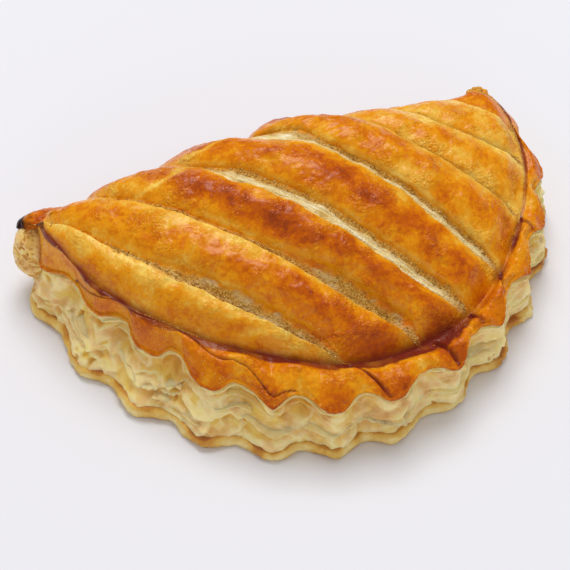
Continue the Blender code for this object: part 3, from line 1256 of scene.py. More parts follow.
    def lay_rib(
        self, index: int, mine: Array, p: Array, row: Array, values: Values
    ) -> tuple[Array, Array]:
        """Lays one rib between its two slashes and paints it.

        Args:
            index: Index of the rib.
            mine: Which columns belong to it.
            p: Share across the rib of each of them.
            row: Share of the way along the rib of each row.
            values: Point values, by name, that get the rib's own.

        Returns:
            Slash number, with fractions between slashes, and height above the dome.
        """
        form = self.form
        band = form.ribs[index]
        width = self.rib_width(index, row)[None, :]
        has_lower = index > 0
        has_upper = index < len(form.slashes)
        lower = form.slashes[max(index - 1, 0)]
        upper = form.slashes[min(index, len(form.slashes) - 1)]
        low_gape, low_open = self.gape(lower, 5.0 * index, row)
        high_gape, high_open = self.gape(upper, 5.0 * (index + 1), row)
        low_part = np.minimum(lower.beyond * low_gape / width, 0.3) * has_lower
        high_part = np.minimum((1 - upper.beyond) * high_gape / width, 0.45) * has_upper
        number = index + self.spread(p, low_part, high_part, index)
        shift = np.sin(np.pi * np.clip((p - 0.12) / 0.16, 0, 1)) * low_open * has_lower
        number = number - shift * self.overhang / width
        low_height = self.lookup(lower, low_open[None, :], p)
        high_height = self.lookup(upper, high_open[None, :], p)
        if not has_lower:
            low_height = self.first_rise * ease(p * 2.2) * np.ones_like(number)
        if not has_upper:
            high_height = self.last_rise * ease((1 - p) * 3) * np.ones_like(number)
        side = ease((p - 0.3) / 0.4)
        relief = ((1 - side) * low_height + side * high_height) * band.scale
        sides = (
            (lower, low_open * has_lower, (1 - low_open) * has_lower),
            (upper, high_open * has_upper, (1 - high_open) * has_upper),
        )
        self.paint_slash(values, mine, p, row[None, :], *sides)
        values["bake"][mine] = self.rib_bake(index, band, p, row[None, :])
        values["along"][mine] = self.rib_length * MM * row[None, :]
        values["across"][mine] = (p * width + 20.0 * index) * MM
        return number, relief

    def dome_grid(self) -> tuple[Array, Values]:
        """Points and values of the slashed top, by column and row.

        Returns:
            Points in the maker's frame, and their values by name.
        """
        form = self.form
        u = np.linspace(0, 1, self.rows)
        row = u - 0.45 * np.sin(2 * np.pi * u) / (2 * np.pi)
        rib, share = self.columns()
        number = np.empty((len(rib), len(row)))
        relief = np.empty_like(number)
        values = {key: np.zeros_like(number) for key in CRUST_VALUES}
        for index in range(len(form.ribs)):
            mine = rib == index
            number[mine], relief[mine] = self.lay_rib(index, mine, share[mine][:, None], row, values)
        plan = form.path(number, row[None, :])
        plan[0] = plan[0, 0]
        plan[-1] = plan[-1, 0]
        angle = np.degrees(np.arctan2(-plan[..., 1], -plan[..., 0]))
        angle = np.where(angle < -90, 180.0, np.clip(angle, 0, 180))
        inside = form.score(angle) - np.linalg.norm(plan, axis=-1)
        inside[:, -1] = 0
        points = self.surface(plan, relief, angle, inside)
        self.pool_glaze(values, points, angle, inside)
        return points, values

    def surface(self, plan: Array, relief: Array, angle: Array, inside: Array) -> Array:
        """Raises plan points to the lumpy, flaked skin, pressed in at the score line.

        Args:
            plan: Plan points.
            relief: Height of the ribs above the dome.
            angle: Outline angle of each point in degrees.
            inside: Distance of each point inside the score line in millimetres.

        Returns:
            Points in the maker's frame.
        """
        # The ribs sink to nothing at the score line, but keep their height along the fold.
        away = np.maximum(ease(inside / 6.0), (plan[..., 1] > -6) * (np.abs(plan[..., 0]) < 66))
        pressed = self.line.depth(angle) * hump(inside, 0.9 * self.line.width(angle))
        points = raised(plan, self.form.dome(plan) + relief * away - pressed)
        lump = self.lumps(points, 9.0, 2) * self.lump + self.lumps(points, 3.0) * self.ripple
        lump += self.ragged(points, 1.5, 2) * self.pimple + self.flake * self.flakes(points)
        points[..., 2] += lump * ease(inside / 2.0)
        return points

    def pool_glaze(self, values: Values, points: Array, angle: Array, inside: Array) -> None:
        """Marks the dark glaze that pooled in the score line, broken up at the right.

        Args:
            values: Point values, by name, that get the marks.
            points: Points in the maker's frame.
            angle: Outline angle of each point in degrees.
            inside: Distance of each point inside the score line in millimetres.
        """
        pool = self.line.dark(angle) * hump(inside, 0.6 * self.line.width(angle))
        pool = pool * (0.95 + 0.3 * self.tint(points, 5.0))
        beaded = ease((angle - self.beads_from) / 10.0)
        pool = pool * (1 - 0.6 * beaded * ease(0.4 + 1.5 * self.ragged(points, 1.6, 2)))
        values["bead"] += 0.9 * beaded * hump(inside, 1.3)
        values["glaze"] = np.clip(np.maximum(pool, values["glaze"]), 0, 1)
        values["bake"] += 0.05 * (1 - ease(inside / 4.0)) * (angle < 120)
        for key in ("cream", "grain"):
            values[key] *= ease((inside - 0.4) / 1.6)

    def flakes(self, points: Array) -> Array:
        """Flat sheets of the skin's outermost leaf, with torn edges, as steps of 1."""
        level = 3.0 * self.tint(points + 80.0, 8.0, 4)
        return np.floor(level) + ease((level - np.floor(level)) / 0.2)

    def paint_slash(
        self,
        values: Values,
        mine: Array,
        p: Array,
        row: Array,
        lower: tuple[Slash, Array, Array],
        upper: tuple[Slash, Array, Array],
    ) -> None:
        """Marks the cut dough, the caramelised crumbs and the beads of one rib.

        Args:
            values: Point values, by name, that get the marks.
            mine: Which columns belong to the rib.
            p: Share across the rib of each of them.
            row: Share along the rib of each row.
            lower: The slash below the rib, and how open and how shut it is at each row.
            upper: The slash above the rib, in the same way.
        """
        low_cut, low_open, low_shut = lower
        high_cut, high_open, high_shut = upper
        along = self.rib_length * np.linspace(0, 1, self.rows)[None, :] + 0 * p
        at = np.stack([along, 16.0 * p + 0 * along, np.full_like(along, 7.0 * mine.argmax())], axis=-1)
        p = p + 0.016 * self.ragged(at, 2.0, 3)
        wander = p + 0.035 * self.ragged(at + 70.0, 5.0, 3)
        ledge = ease((p - 0.856) / 0.01)
        lip = ease((p - 0.857) / 0.006) * ease((0.885 - p) / 0.01)
        streak = ease((self.ragged(at * np.array([0.25, 1.6, 1.0]), 2.0, 2) - 0.1) / 0.2)
        floor_high = ease((p - 0.885) / 0.02)
        floor_low = ease((0.115 - wander) / 0.03)
        valley = ease((wander - 0.90) / 0.04) + ease((0.10 - wander) / 0.04)
        cream = (ledge * high_cut.cream + lip * (1 - high_cut.cream)) * high_open
        bare = floor_high * (1 - high_cut.cream) * high_open + floor_low * (1 - low_cut.cream) * low_open
        cream = cream + 0.55 * streak * bare + ease((0.035 - wander) / 0.02) * low_open * low_cut.cream
        flared = high_cut.flare * floor_high * high_open + low_cut.flare * floor_low * low_open
        cream = cream + flared * hump(row - 0.12, 0.12) * (0.4 + 0.3 * streak)
        grain = np.maximum(floor_high * high_open + floor_low * low_open, 0.8 * valley * ease(along / 16.0))
        # Beads and painted glints gather along both edges of the rib.
        edge = hump(p - 0.17, 0.035) + 0.6 * hump(p - 0.845, 0.02)
        shut = np.where(p > 0.5, high_shut, low_shut)
        values["cream"][mine] = np.clip(cream, 0, 1)
        values["grain"][mine] = np.clip(grain, 0, 1)
        seared = 0.35 + 0.55 * hump(row, 0.16)
        values["glaze"][mine] = seared * shut * (hump(p - 1.0, 0.04) + hump(p, 0.04))
        values["bead"][mine] = np.clip(edge, 0, 1) * (0.5 + 0.5 * np.maximum(low_open, high_open))
        values["bead"][mine] += shut * (hump(p - 0.99, 0.05) + hump(p - 0.01, 0.05))

    def rib_bake(self, index: int, band: Rib, p: Array, row: Array) -> Array:
        """How brown one rib is across and along it, with its own patches.

        Args:
            index: Index of the rib.
            band: The rib.
            p: Share across the rib.
            row: Share of the way along the rib, 0 at the fold.

        Returns:
            Bake, where 0 is pale gold and 1 is dark brown.
        """
        row, p = np.broadcast_arrays(row, p)
        at = np.stack([row * 100.0, p * 16.0, np.full_like(p, 40.0 * index)], axis=-1)
        row = row + 0.035 * self.tint(at, 9.0, 2)
        p = p + 0.16 * self.tint(at + 50.0, 7.0, 2)
        bake = band.bake + 0.16 * hump(p - 0.50, 0.2) - 0.14 * hump(p - 0.86, 0.1) - 0.05
        for patch in band.patches:
            spot = hump(row - patch.row, 1.3 * patch.length) * hump(p - patch.across, 1.2 * patch.width)
            bake = bake + (0.50 if patch.amount > 0 else 1.1) * patch.amount * spot
        return bake

    def back(self, shoulder: Array, relief: Array) -> tuple[Array, Values]:
        """Rounded fold: rings from its shoulder down the back and in under the edge.

        Args:
            shoulder: Points of the dome's first row.
            relief: Rib height at each of them.

        Returns:
            Points by ring and column, and their values.
        """
        form = self.form
        widened = shoulder[:, 0] * form.half_fold / form.tip_radius
        reach = form.fold_y(widened) - shoulder[:, 1]
        from_tip = np.minimum(widened + form.half_fold, form.half_fold - widened)
        low = 0.6 + 17.0 * (1 - ease(from_tip / 7.0))
        last = 1 - (low / np.maximum(shoulder[:, 2], low + 1)) ** (1 / 0.9)
        down = np.linspace(0, 1, self.back_rings - 5)[1:, None] * last
        widest = form.fold_widest
        out = np.sin(0.5 * np.pi * np.minimum(down / widest, 1.0))
        out = out - form.fold_tuck * ease((down - widest) / (1 - widest))
        swell = 0.5 * relief * np.sin(np.pi * np.minimum(down + 0.15, 1.0))
        x = shoulder[:, 0] + (widened - shoulder[:, 0]) * out
        y = shoulder[:, 1] + reach * out + swell
        z = shoulder[:, 2] * (1 - down) ** 0.9
        body = np.stack([x, y, z], axis=-1)
        body[..., 1] += (0.5 * self.lumps(body, 8.0, 2) + 0.1 * self.ragged(body, 1.5)) * ease(down * 4)
        inward = np.linspace(0, 1, 7)[1:, None]
        edge = body[-1]
        tucked = -4.0 * inward * np.sign(edge[:, 0]) * (1 - ease(from_tip / 7.0))
        turned = np.stack(
            [edge[:, 0] + tucked, edge[:, 1] - 4.0 * inward, edge[:, 2] - 0.5 * np.sin(np.pi * inward)],
            axis=-1,
        )
        points = np.concatenate([body, turned])
        burnt = hump(np.linalg.norm(points - np.array([-75.5, 0.5, 19.5]), axis=-1), 3.0)
        bake = np.full(points.shape[:-1], 0.52) + 0.22 * self.tint(points, 14.0, 2)
        bake[: len(body)] += 0.05 * relief - 0.12 * hump(down - 0.75, 0.2)
        cream = np.zeros(points.shape[:-1])
        cream[len(body) :] = 0.6
        return points, crust_values(bake, cream=cream, glaze=burnt)

    def build(self) -> Piece:
        """Builds the mesh of the dome and the back.

        Returns:
            The new piece, linked to the scene.
        """
        top, top_values = self.dome_grid()
        skin = Skin("glazed_top")
        grid = skin.add_points(top, **top_values)
        grid[0] = grid[0, 0]
        grid[-1] = grid[-1, 0]
        skin.add_patch(grid, (0.0, 0.2), (1.0, 1.0))
        shoulder = top[self.first_columns :, 0]
        relief = shoulder[:, 2] - self.form.dome(shoulder[:, :2])
        points, values = self.back(shoulder, relief)
        rings = skin.add_points(points, **values)
        rings = np.concatenate([grid[None, self.first_columns :, 0], rings])
        skin.add_patch(rings.T, (0.0, 0.18), (1.0, 0.0))
        return skin.build(self.form.origin())


@dataclass
class FlutedRim:
    """Rim of the top crust outside the score line: a puffy band cut into lobes that droop over
    the side, down to its thin edge and a little way back under it."""

    form: PastryForm
    line: ScoreLine
    columns: int = 1300
    band_rings: int = 28
    edge_rings: int = 6
    edge_size: float = 0.75
    first_angle: float = 4.5
    lump: float = 0.55
    ripple: float = 0.22
    pimple: float = 0.10
    cut_reach: float = 85.0
    cut_width: float = 0.75
    cut_depth: float = 1.2
    crease_depth: float = 1.0

    def __post_init__(self) -> None:
        """Seeds the noises."""
        self.lumps = Grain3D(14)
        self.tint = Grain3D(15)
        self.ragged = Grain3D(16)

    def courses(self) -> tuple[Array, Array]:
        """Outline angle of each column on the score line and on the lip.

        Returns:
            Both angles of each column, in degrees.
        """
        form = self.form
        outer = np.linspace(self.first_angle, 180.0 - form.tip_angle, self.columns)
        first = form.first_rib_angle
        inner = np.interp(outer, (self.first_angle, first, 180), (form.tip_angle, first, 180))
        return inner, outer

    def band(self) -> tuple[Array, Values]:
        """Rings from the score line out to the lip.

        Returns:
            Points in the maker's frame, and their values by name.
        """
        form = self.form
        inner, outer = self.courses()
        step = np.linspace(0, 1, self.band_rings + 1)[:, None]
        around = inner + (outer - inner) * ease(step)
        score = form.score(inner)
        lip = form.lip(outer)
        teeth = form.teeth(outer)
        radius = score + (lip - self.edge_size - score) * step
        start = form.dome(polar(inner, score))
        slope = np.clip(start - form.rim_height - form.band_rise, 0, 6.0)
        slope = slope * ease((180 - form.tip_angle - inner) / 20.0)
        pillow = 1.2 * form.band_rise * np.sin(np.pi * step) ** 0.6
        droop = 1.3 * ease((step - 0.45) / 0.55) * np.maximum(teeth, 0)
        height = form.brim(outer) + slope * (1 - step) ** 0.8 + pillow - droop
        groove = start - self.line.depth(inner)
        out = step * np.maximum(lip - score, 4.0)
        height = groove + (height - groove) * ease(out / (0.8 + 2.3 * self.line.width(inner)))
        crease = hump(form.notch_distance(around), 1.6) * ease((step - 0.3) / 0.6)
        cut = np.zeros_like(height)
        for inside, outside, strength in self.line.cuts:
            course = inside + (outside - inside) * step
            away = np.radians(around - course) * self.cut_reach
            cut = np.maximum(cut, strength * hump(away, self.cut_width))
        height = height - self.crease_depth * crease
        height = height - self.cut_depth * cut * ease((1 - step) / 0.15) * ease(step / 0.2)
        points = raised(polar(around, radius), height)
        lump = self.lumps(points, 6.0, 2) * self.lump + self.lumps(points, 2.4) * self.ripple
        lump += self.ragged(points, 1.2, 2) * self.pimple
        points[..., 2] += lump * ease(step * 3)
        outward = ease((step - 0.15) / 0.85)
        bake = 0.53 + 0.18 * outward * (0.55 + 0.45 * teeth) - 0.08 * crease
        bake = bake - 0.09 * ease((45 - around) / 20.0) + 0.06 * hump(around - 68, 12.0)
        bake = bake + 0.16 * self.tint(points, 10.0, 2)
        edge = self.line.width(inner) * (1.7 + 0.6 * self.ragged(points, 5.0, 3))
        pool = self.line.dark(inner) * ease((edge - out) / (0.3 * edge + 0.2))
        glaze = np.clip((pool + 1.1 * cut) * (0.95 + 0.3 * self.tint(points, 4.0)), 0, 1)
        # Beads and painted glints thicken toward the rim's outer edge.
        bead = 0.5 * ease(self.tint(points + 40.0, 8.0, 2) * 2) * (0.4 + outward)
        return points, crust_values(bake, glaze=glaze, bead=bead)

    def edge(self, brink: Array) -> tuple[Array, Values]:
        """Rings round the thin edge and back under it.

        Args:
            brink: Points of the band's last ring.

        Returns:
            Points in the maker's frame, and their values by name.
        """
        form = self.form
        inner, outer = self.courses()
        size = self.edge_size
        turn = np.linspace(0, 1, self.edge_rings + 1)[1:, None] * np.pi * 0.95
        lip = form.lip(outer)
        round_r = lip - size + size * np.sin(turn)
        round_z = brink[:, 2] - size + size * np.cos(turn)
        ragged = self.ragged(brink, 2.5, 3) * 0.35
        round_r = round_r + ragged * np.sin(turn)
        depth = np.clip(0.55 * (lip - form.score(inner)), 1.0, 4.0)
        under = np.linspace(0, 1, 5)[1:, None]
        radius = np.concatenate([round_r, round_r[-1] - depth * under])
        height = np.concatenate([round_z, round_z[-1] + 0.2 * under])
        points = raised(polar(np.broadcast_to(outer, radius.shape), radius), height)
        count = len(round_r)
        bake = np.full(radius.shape, 0.3)
        bake[:count] = 0.62 + 0.16 * form.teeth(outer)
        cream = np.ones(radius.shape)
        cream[:count] = ease((turn / np.pi - 0.52 + 0.5 * ragged) / 0.14)
        return points, crust_values(bake, cream=cream)

    def build(self) -> Piece:
        """Builds the rim's mesh.

        Returns:
            The new piece, linked to the scene.
        """
        points, values = self.band()
        edge, edge_values = self.edge(points[-1])
        tuck = points[:1].copy()
        tuck[..., :2] *= 1 - 1.5 / np.linalg.norm(tuck[..., :2], axis=-1, keepdims=True)
        tuck[..., 2] -= 1.5
        whole = np.concatenate([tuck, points, edge])
        merged = {k: np.concatenate([v[:1], v, edge_values[k]]) for k, v in values.items()}
        skin = Skin("fluted_rim")
        number = skin.add_points(whole, **merged)
        skin.add_patch(number.T, (0.0, 0.0), (1.0, 1.0))
        return skin.build(self.form.origin())


# ------------------------------
# Layered side


@dataclass
class LayeredSide:
    """Side of the pastry between base sheet and lip. The top and bottom doughs have each risen
    into soft leaves and pockets, and a torn seam between them runs round at mid height."""

    form: PastryForm
    columns: int = 1200
    rows: int = 76
    recess: float = 1.1
    bottom: float = 2.0
    seam: float = 0.40
    last_angle: float = 180.2
    corner_columns: int = 40
    corner_run: float = 9.0
    corner_setback: float = 3.2
    # How far each feature stands out from the smooth side or sinks into it, in millimetres.
    overhang: float = 1.2
    undercut: float = 1.3
    bowl_depth: float = 1.6
    low_bowl_depth: float = 0.8
    fold_depth: float = 1.7
    crimp_depth: float = 0.6
    web_height: float = 0.5
    pore_depth: float = 0.8
    deepest: float = 4.0
    proudest: float = 1.7

    def __post_init__(self) -> None:
        """Seeds the noises."""
        self.wave = Grain3D(21)
        self.bubbles = Bubbles3D(22)
        self.fine = Grain3D(23)

    def build(self) -> Piece:
        """Builds the side's mesh, which turns both corners and runs a little way behind.

        Returns:
            The new piece, linked to the scene.
        """
        form = self.form
        angle = np.linspace(form.corner_angle, self.last_angle, self.columns)
        v = np.linspace(0, 1, self.rows)
        top = form.brim(angle) - 1.2 - 1.3 * np.maximum(form.teeth(angle), 0)
        height = self.bottom + (top - self.bottom) * v[:, None]
        foot = form.foot(angle) - self.recess - 2.0 * ease((14 - angle) / 10)
        lip = form.lip(angle) - 1.1
        radius = foot + (lip - foot) * ease(v * 1.1)[:, None]
        at = raised(polar(angle + 0 * radius, radius), height)
        push, relief, toast = self.relief(at, angle, v)
        at[..., :2] += polar(angle, np.ones_like(angle)) * push[..., None]
        run = np.linspace(0, 1, self.corner_columns)[1:, None]
        ends = []
        for corner, sign in ((at[:, 0], 1.0), (at[:, -1], -1.0)):
            x = corner[:, 0] + sign * self.corner_run * run
            y = corner[:, 1] - self.corner_setback * run**0.5
            ends.append(np.stack([x, y, corner[:, 2] + 0 * run], axis=-1).transpose(1, 0, 2))
        whole = np.concatenate([ends[0][:, ::-1], at, ends[1]], axis=1)
        pad = ((0, 0), (self.corner_columns - 1, self.corner_columns - 1))
        skin = Skin("layered_side")
        number = skin.add_points(
            whole, relief=np.pad(relief, pad, mode="edge"), toast=np.pad(toast, pad, mode="edge")
        )
        skin.add_patch(number.T, (0.0, 0.0), (1.0, 1.0))
        return skin.build(form.origin())

    def relief(self, at: Array, angle: Array, v: Array) -> tuple[Array, Array, Array]:
        """Leaves, pockets, arches and seam of the risen dough.

        Args:
            at: Points of the smooth side, by row and column.
            angle: Outline angle of each column.
            v: Share of the height of each row.

        Returns:
            Outward push in millimetres; the crumb's painted light and shade, from 0 (painted shade
            deep in a hollow) to 1 (painted light on a proud ridge); and where it is toasted or
            darkened with painted shade in its hollows and pores.
        """
        form = self.form
        rise = v[:, None] + 0 * angle
        lobe = form.lobes(angle)
        line = at[:1] * np.array([1.0, 1.0, 0.0])
        seam = self.seam + 0.05 * self.wave(line, 14.0, 2) + 0.02 * self.fine(line, 2.5, 2)
        over = rise - seam
        jag = np.clip(0.75 + 0.9 * self.wave(line + 30.0, 6.0, 2), 0, 1.6)
        shelf = ease(over / 0.025 + 0.5)
        overhang = self.overhang * jag * shelf * np.exp(-np.maximum(over, 0) / 0.10)
        shade = self.undercut * (1 - shelf) * np.exp(np.minimum(over, 0) / 0.08)
        swell = 0.7 * (1 - shelf) * np.sin(np.pi * np.clip(rise / seam, 0, 1))

        away = form.notch_distance(angle)
        middle = 0.74 + 0.07 * self.wave(line + 60.0, 11.0)
        wide = 5.0 + 2.0 * self.wave(line + 120.0, 16.0)
        bowl = ease(1.15 - (away / wide) ** 2 - ((rise - middle) / 0.24) ** 2)
        low_bowl = ease(1.1 - ((rise - 0.20) / 0.16) ** 2) * ease(self.wave(line + 90.0, 8.0) * 3)
        warped = at + 2.4 * np.stack([self.fine(at + k, 7.0, 2) for k in (0.0, 60.0, 120.0)], axis=-1)
        fold = self.fine(warped, (13.0, 13.0, 5.0), 2)
        crimp = self.wave(warped + 31.0, (6.0, 6.0, 3.0), 2)
        torn = ease(0.75 + 1.2 * self.wave(at + 15.0, 11.0))
        puckered = ease(0.35 + 1.5 * self.wave(at + 45.0, 9.0))
        hollow = ease(np.abs(fold) / 0.55) * torn
        dimple = ease(np.abs(crimp) / 0.6) * puckered
        web = np.maximum(hump(fold, 0.10) * torn, 0.7 * hump(crimp, 0.13) * puckered)
        small, kind = self.bubbles(warped + 31.0, (2.8, 2.8, 2.0))
        pores = ease(small / 0.5) * ease((kind - 0.62) / 0.15) * ease(0.3 + 1.6 * self.wave(at, 12.0))
        push = overhang - shade + swell - self.bowl_depth * bowl - self.low_bowl_depth * low_bowl
        push = push - self.fold_depth * hollow - self.crimp_depth * dimple
        push = push + self.web_height * web - self.pore_depth * pores
        push = push + 0.5 * ease(lobe) + 0.12 * self.fine(at, 2.2, 2) + 0.6 * self.wave(at, 12.0)
        ends = ease(rise / 0.26) * ease((1 - rise) / 0.08)
        push = np.clip(push * (0.3 + 0.7 * ends), -self.deepest, self.proudest)
        push = push + 0.4 * (1 - ease(rise / 0.22))
        # Painted light and shade: the crumb is darker where it is pushed in and in pores, lighter on proud
        # places and web ridges, with a painted highlight along the seam's overhanging edge and painted
        # light over the right part of the side.
        relief = 0.56 + 0.10 * push + 0.38 * web + 0.25 * shelf * hump(over - 0.02, 0.03)
        relief = np.clip(relief - 0.25 * pores + 0.14 * ease((angle - 82.0) / 12.0), 0, 1)
        # Painted shade: the hollows, bowls and larger pores are darkened, and on the left so is a line
        # along the seam under its overhang; the rest of this value is toast at random.
        toast = 0.9 * hollow * ease((self.wave(at + 150.0, 7.0, 2) - 0.3) / 0.3)
        toast = toast + 0.5 * ease((self.fine(at, 7.0, 2) - 0.45) / 0.3) + 0.5 * pores * (kind > 0.85)
        toast = toast + 0.35 * bowl * ease(self.wave(line + 200.0, 14.0) * 3)
        left = ease((16.0 - angle) / 10.0)
        toast = toast + left * (0.45 * ease(self.fine(at, 3.0, 2) + 0.4) + 0.5 * hump(over, 0.04))
        return push, relief, np.clip(toast, 0, 1)


@dataclass
class RolledEnd:
    """Bulging, porous end of the folded roll of dough, at a tip under the top crust."""

    form: PastryForm
    name: str
    middle: tuple[float, float, float]
    radii: tuple[float, float, float]
    seed: int
    rows: int = 120
    columns: int = 200

    def build(self) -> Piece:
        """Builds the end as a closed, pitted egg shape.

        Returns:
            The new piece, linked to the scene.
        """
        wave = Grain3D(self.seed)
        bubbles = Bubbles3D(self.seed + 1)
        tilt = np.linspace(0, np.pi, self.rows)[:, None]
        turn = np.linspace(0, 2 * np.pi, self.columns)
        way = np.stack(
            [np.sin(tilt) * np.cos(turn), np.sin(tilt) * np.sin(turn), np.cos(tilt) + 0 * turn], axis=-1
        )
        at = np.array(self.middle) + way * np.array(self.radii)
        curl = np.stack([wave(at + k, 3.0, 2) for k in (0.0, 30.0, 60.0)], axis=-1)
        wall, size = bubbles(at + 1.4 * curl, (2.8, 2.8, 2.4))
        hollow = ease(wall / 0.4) * ease((size - 0.45) / 0.2)
        small, kind = bubbles(at + 40.0, (1.2, 1.2, 1.1))
        pores = ease(small / 0.5) * ease((kind - 0.5) / 0.2)
        push = 0.5 * wave(at, 5.0, 2) + 0.10 * wave(at, 1.3, 2) - 0.5 * hollow - 0.35 * pores
        points = at + way * push[..., None]
        points[:, -1] = points[:, 0]
        skin = Skin(self.name)
        # Painted shade: the end is browner in its hollows and pores, over toast at random, and its relief
        # value is darker where the surface is pushed in.
        browned_and_shade = 0.12 + 0.45 * hollow + 0.25 * ease(0.3 + wave(at, 3.0, 2)) + 0.3 * pores
        number = skin.add_points(points, relief=np.clip(0.55 + 0.2 * push, 0, 1), toast=browned_and_shade)
        number[:, -1] = number[:, 0]
        number[0] = number[0, 0]
        number[-1] = number[-1, 0]
        skin.add_patch(number, (0.0, 0.0), (1.0, 1.0))
        return skin.build(self.form.origin())


@dataclass
class CrustKnot:
    """Crust gathered over an end of the roll: half an egg that leans back into the dome."""

    form: PastryForm
    name: str
    middle: tuple[float, float, float]
    reach: float
    rise: float
    depth: float
    seed: int
    rough: float = 0.3
    bake: float = 0.5
    grain: float = 0.0
    burnt_end: float = 0.0
    lean: float = 50.0
    turn: float = 22.9
    rings: int = 80
    columns: int = 180

    def axes(self) -> Array:
        """Unit vectors along the knot, up it and out of its open side.

        Returns:
            The three vectors, as rows.
        """
        turn, lean = math.radians(self.turn), math.radians(self.lean)
        along = np.array([math.cos(turn), -math.sin(turn), 0.0])
        back = np.array([math.sin(turn), math.cos(turn), 0.0])
        up = back * math.sin(lean) + np.array([0.0, 0.0, math.cos(lean)])
        out = -back * math.cos(lean) + np.array([0.0, 0.0, math.sin(lean)])
        return np.array([along, up, out])

    def build(self) -> Piece:
        """Builds the half egg, with its rim turned in underneath.

        Returns:
            The new piece, linked to the scene.
        """
        wave = Grain3D(self.seed)
        tilt = np.linspace(0, 0.5 * np.pi, self.rings)[:, None]
        turn = np.linspace(0, 2 * np.pi, self.columns)
        sizes = (self.reach, self.rise, self.depth)
        along, up, out = np.sin(tilt) * np.cos(turn), np.cos(tilt) + 0 * turn, np.sin(tilt) * np.sin(turn)
        way = np.stack([along, up, out], axis=-1) * np.array(sizes) @ self.axes()
        points = np.array(self.middle) + way
        swell = self.rough * (wave(points, 4.0, 3) + 0.4 * wave(points, 1.2, 2))
        points = points + way / np.linalg.norm(way, axis=-1, keepdims=True) * swell[..., None]
        points[:, -1] = points[:, 0]
        under = [points[-1] + (np.array(self.middle) - points[-1]) * k for k in (0.06, 0.2, 0.45)]
        points = np.concatenate([points, np.array(under) - 0.3 * self.axes()[1]])
        sideways = (points - np.array(self.middle)) @ self.axes()[0] / self.reach
        burnt = self.burnt_end * ease((-0.57 - sideways + 0.15 * wave(points, 2.5, 2)) / 0.3)
        bake = self.bake + 0.2 * wave(points, 5.0, 2)
        grain = self.grain * ease(0.5 + wave(points, 2.5, 2))
        skin = Skin(self.name)
        number = skin.add_points(points, **crust_values(bake, grain=grain, glaze=burnt))
        number[:, -1] = number[:, 0]
        number[0] = number[0, 0]
        skin.add_patch(number, (0.0, 0.0), (1.0, 1.0))
        return skin.build(self.form.origin())


# ------------------------------
# Base sheet


@dataclass
class BaseSheet:
    """Thin bottom sheet of dough round the fluted rim, with the flat underside."""

    form: PastryForm
    columns: int = 1100
    back_columns: int = 160
    middle: tuple[float, float] = (0.0, -38.0)
    under_rings: int = 12
    under_bake: float = 0.62
    # Round the edge: distance out from the foot in millimetres, share of the thickness, bake.
    sections: tuple[tuple[float, float, float], ...] = (
        (-7.0, 1.0, 0.8),
        (-3.4, 1.0, 0.85),
        (-2.2, 1.02, 0.8),
        (-1.3, 1.02, 0.62),
        (-0.6, 0.96, 0.46),
        (-0.1, 0.84, 0.30),
        (0.20, 0.68, 0.20),
        (0.30, 0.5, 0.16),
        (0.20, 0.34, 0.20),
        (-0.1, 0.14, 0.28),
        (-0.6, 0.03, 0.45),
        (-1.4, 0.0, 0.6),
    )

    def __post_init__(self) -> None:
        """Seeds the noise."""
        self.wave = Grain3D(31)

    def build(self) -> Piece:
        """Builds the sheet's mesh.

        Returns:
            The new piece, linked to the scene.
        """
        form = self.form
        angle = np.linspace(2.0, 180.0, self.columns)
        front = polar(angle, form.foot(angle) - 2.5 * ease((12 - angle) / 10))
        x = np.linspace(front[-1, 0] - 1.0, front[0, 0] + 1.0, self.back_columns)
        behind = np.stack([x, form.fold_y(x) - 1.6], axis=-1)
        rim = np.concatenate([front, behind])
        middle = np.array(self.middle)
        outward = rim - middle
        outward /= np.linalg.norm(outward, axis=1, keepdims=True)
        shown = ease((angle - 2) / 6) * ease((180 - angle) / 6)
        show = np.concatenate([shown, np.zeros(self.back_columns)])
        ground = raised(rim, 0.0)
        wobble = self.wave(ground, 7.0, 2)
        thick = form.sheet * (1.22 + 0.22 * wobble)
        far = np.concatenate([ease((angle - 95.0) / 30.0), np.ones(self.back_columns)])
        scorched = 0.35 * ease((self.wave(ground + 50.0, 11.0) - 0.15 + 0.35 * far) / 0.3)
        rings = []
        bakes = []
        for inset, level, bake in self.sections:
            torn = raised(rim, level * 9.0)
            edge = (0.7 + 0.5 * far) * self.wave(torn, 4.0, 3) + 0.2 * self.wave(torn, 1.1)
            edge = edge * (inset > -2) * show
            plan = rim + outward * (inset + edge)[:, None]
            rings.append(raised(plan, thick * level))
            bakes.append(bake + 0.14 * wobble + scorched * (level > 0.3))
        foot = rings[-1][:, :2]
        for share in np.linspace(0.94, 0.06, self.under_rings):
            dimple = 0.12 * np.abs(self.wave(ground * share, 8.0)) * (share < 0.9)
            rings.append(raised(middle + (foot - middle) * share, dimple))
            bakes.append(np.full(len(rim), self.under_bake))
        skin = Skin("base_sheet")
        number = skin.add_points(np.array(rings), bake=np.array(bakes))
        number = np.concatenate([number, number[:, :1]], axis=1)
        skin.add_patch(number, (0.0, 0.0), (0.9, 1.0))
        centre = skin.add_points(raised(middle, 0.0)[None, :], bake=np.array([self.under_bake]))
        last = np.stack([number[-1], np.full(number.shape[1], centre[0])])
        skin.add_patch(last, (0.9, 0.0), (1.0, 1.0))
        return skin.build(form.origin())


# ------------------------------
# Loose leaves


@dataclass(frozen=True)
class Leaf:
    """One thin leaf of dough that stands out from the side."""

    start: float
    end: float
    rise: float
    reach: float
    ragged: float
    droop: float


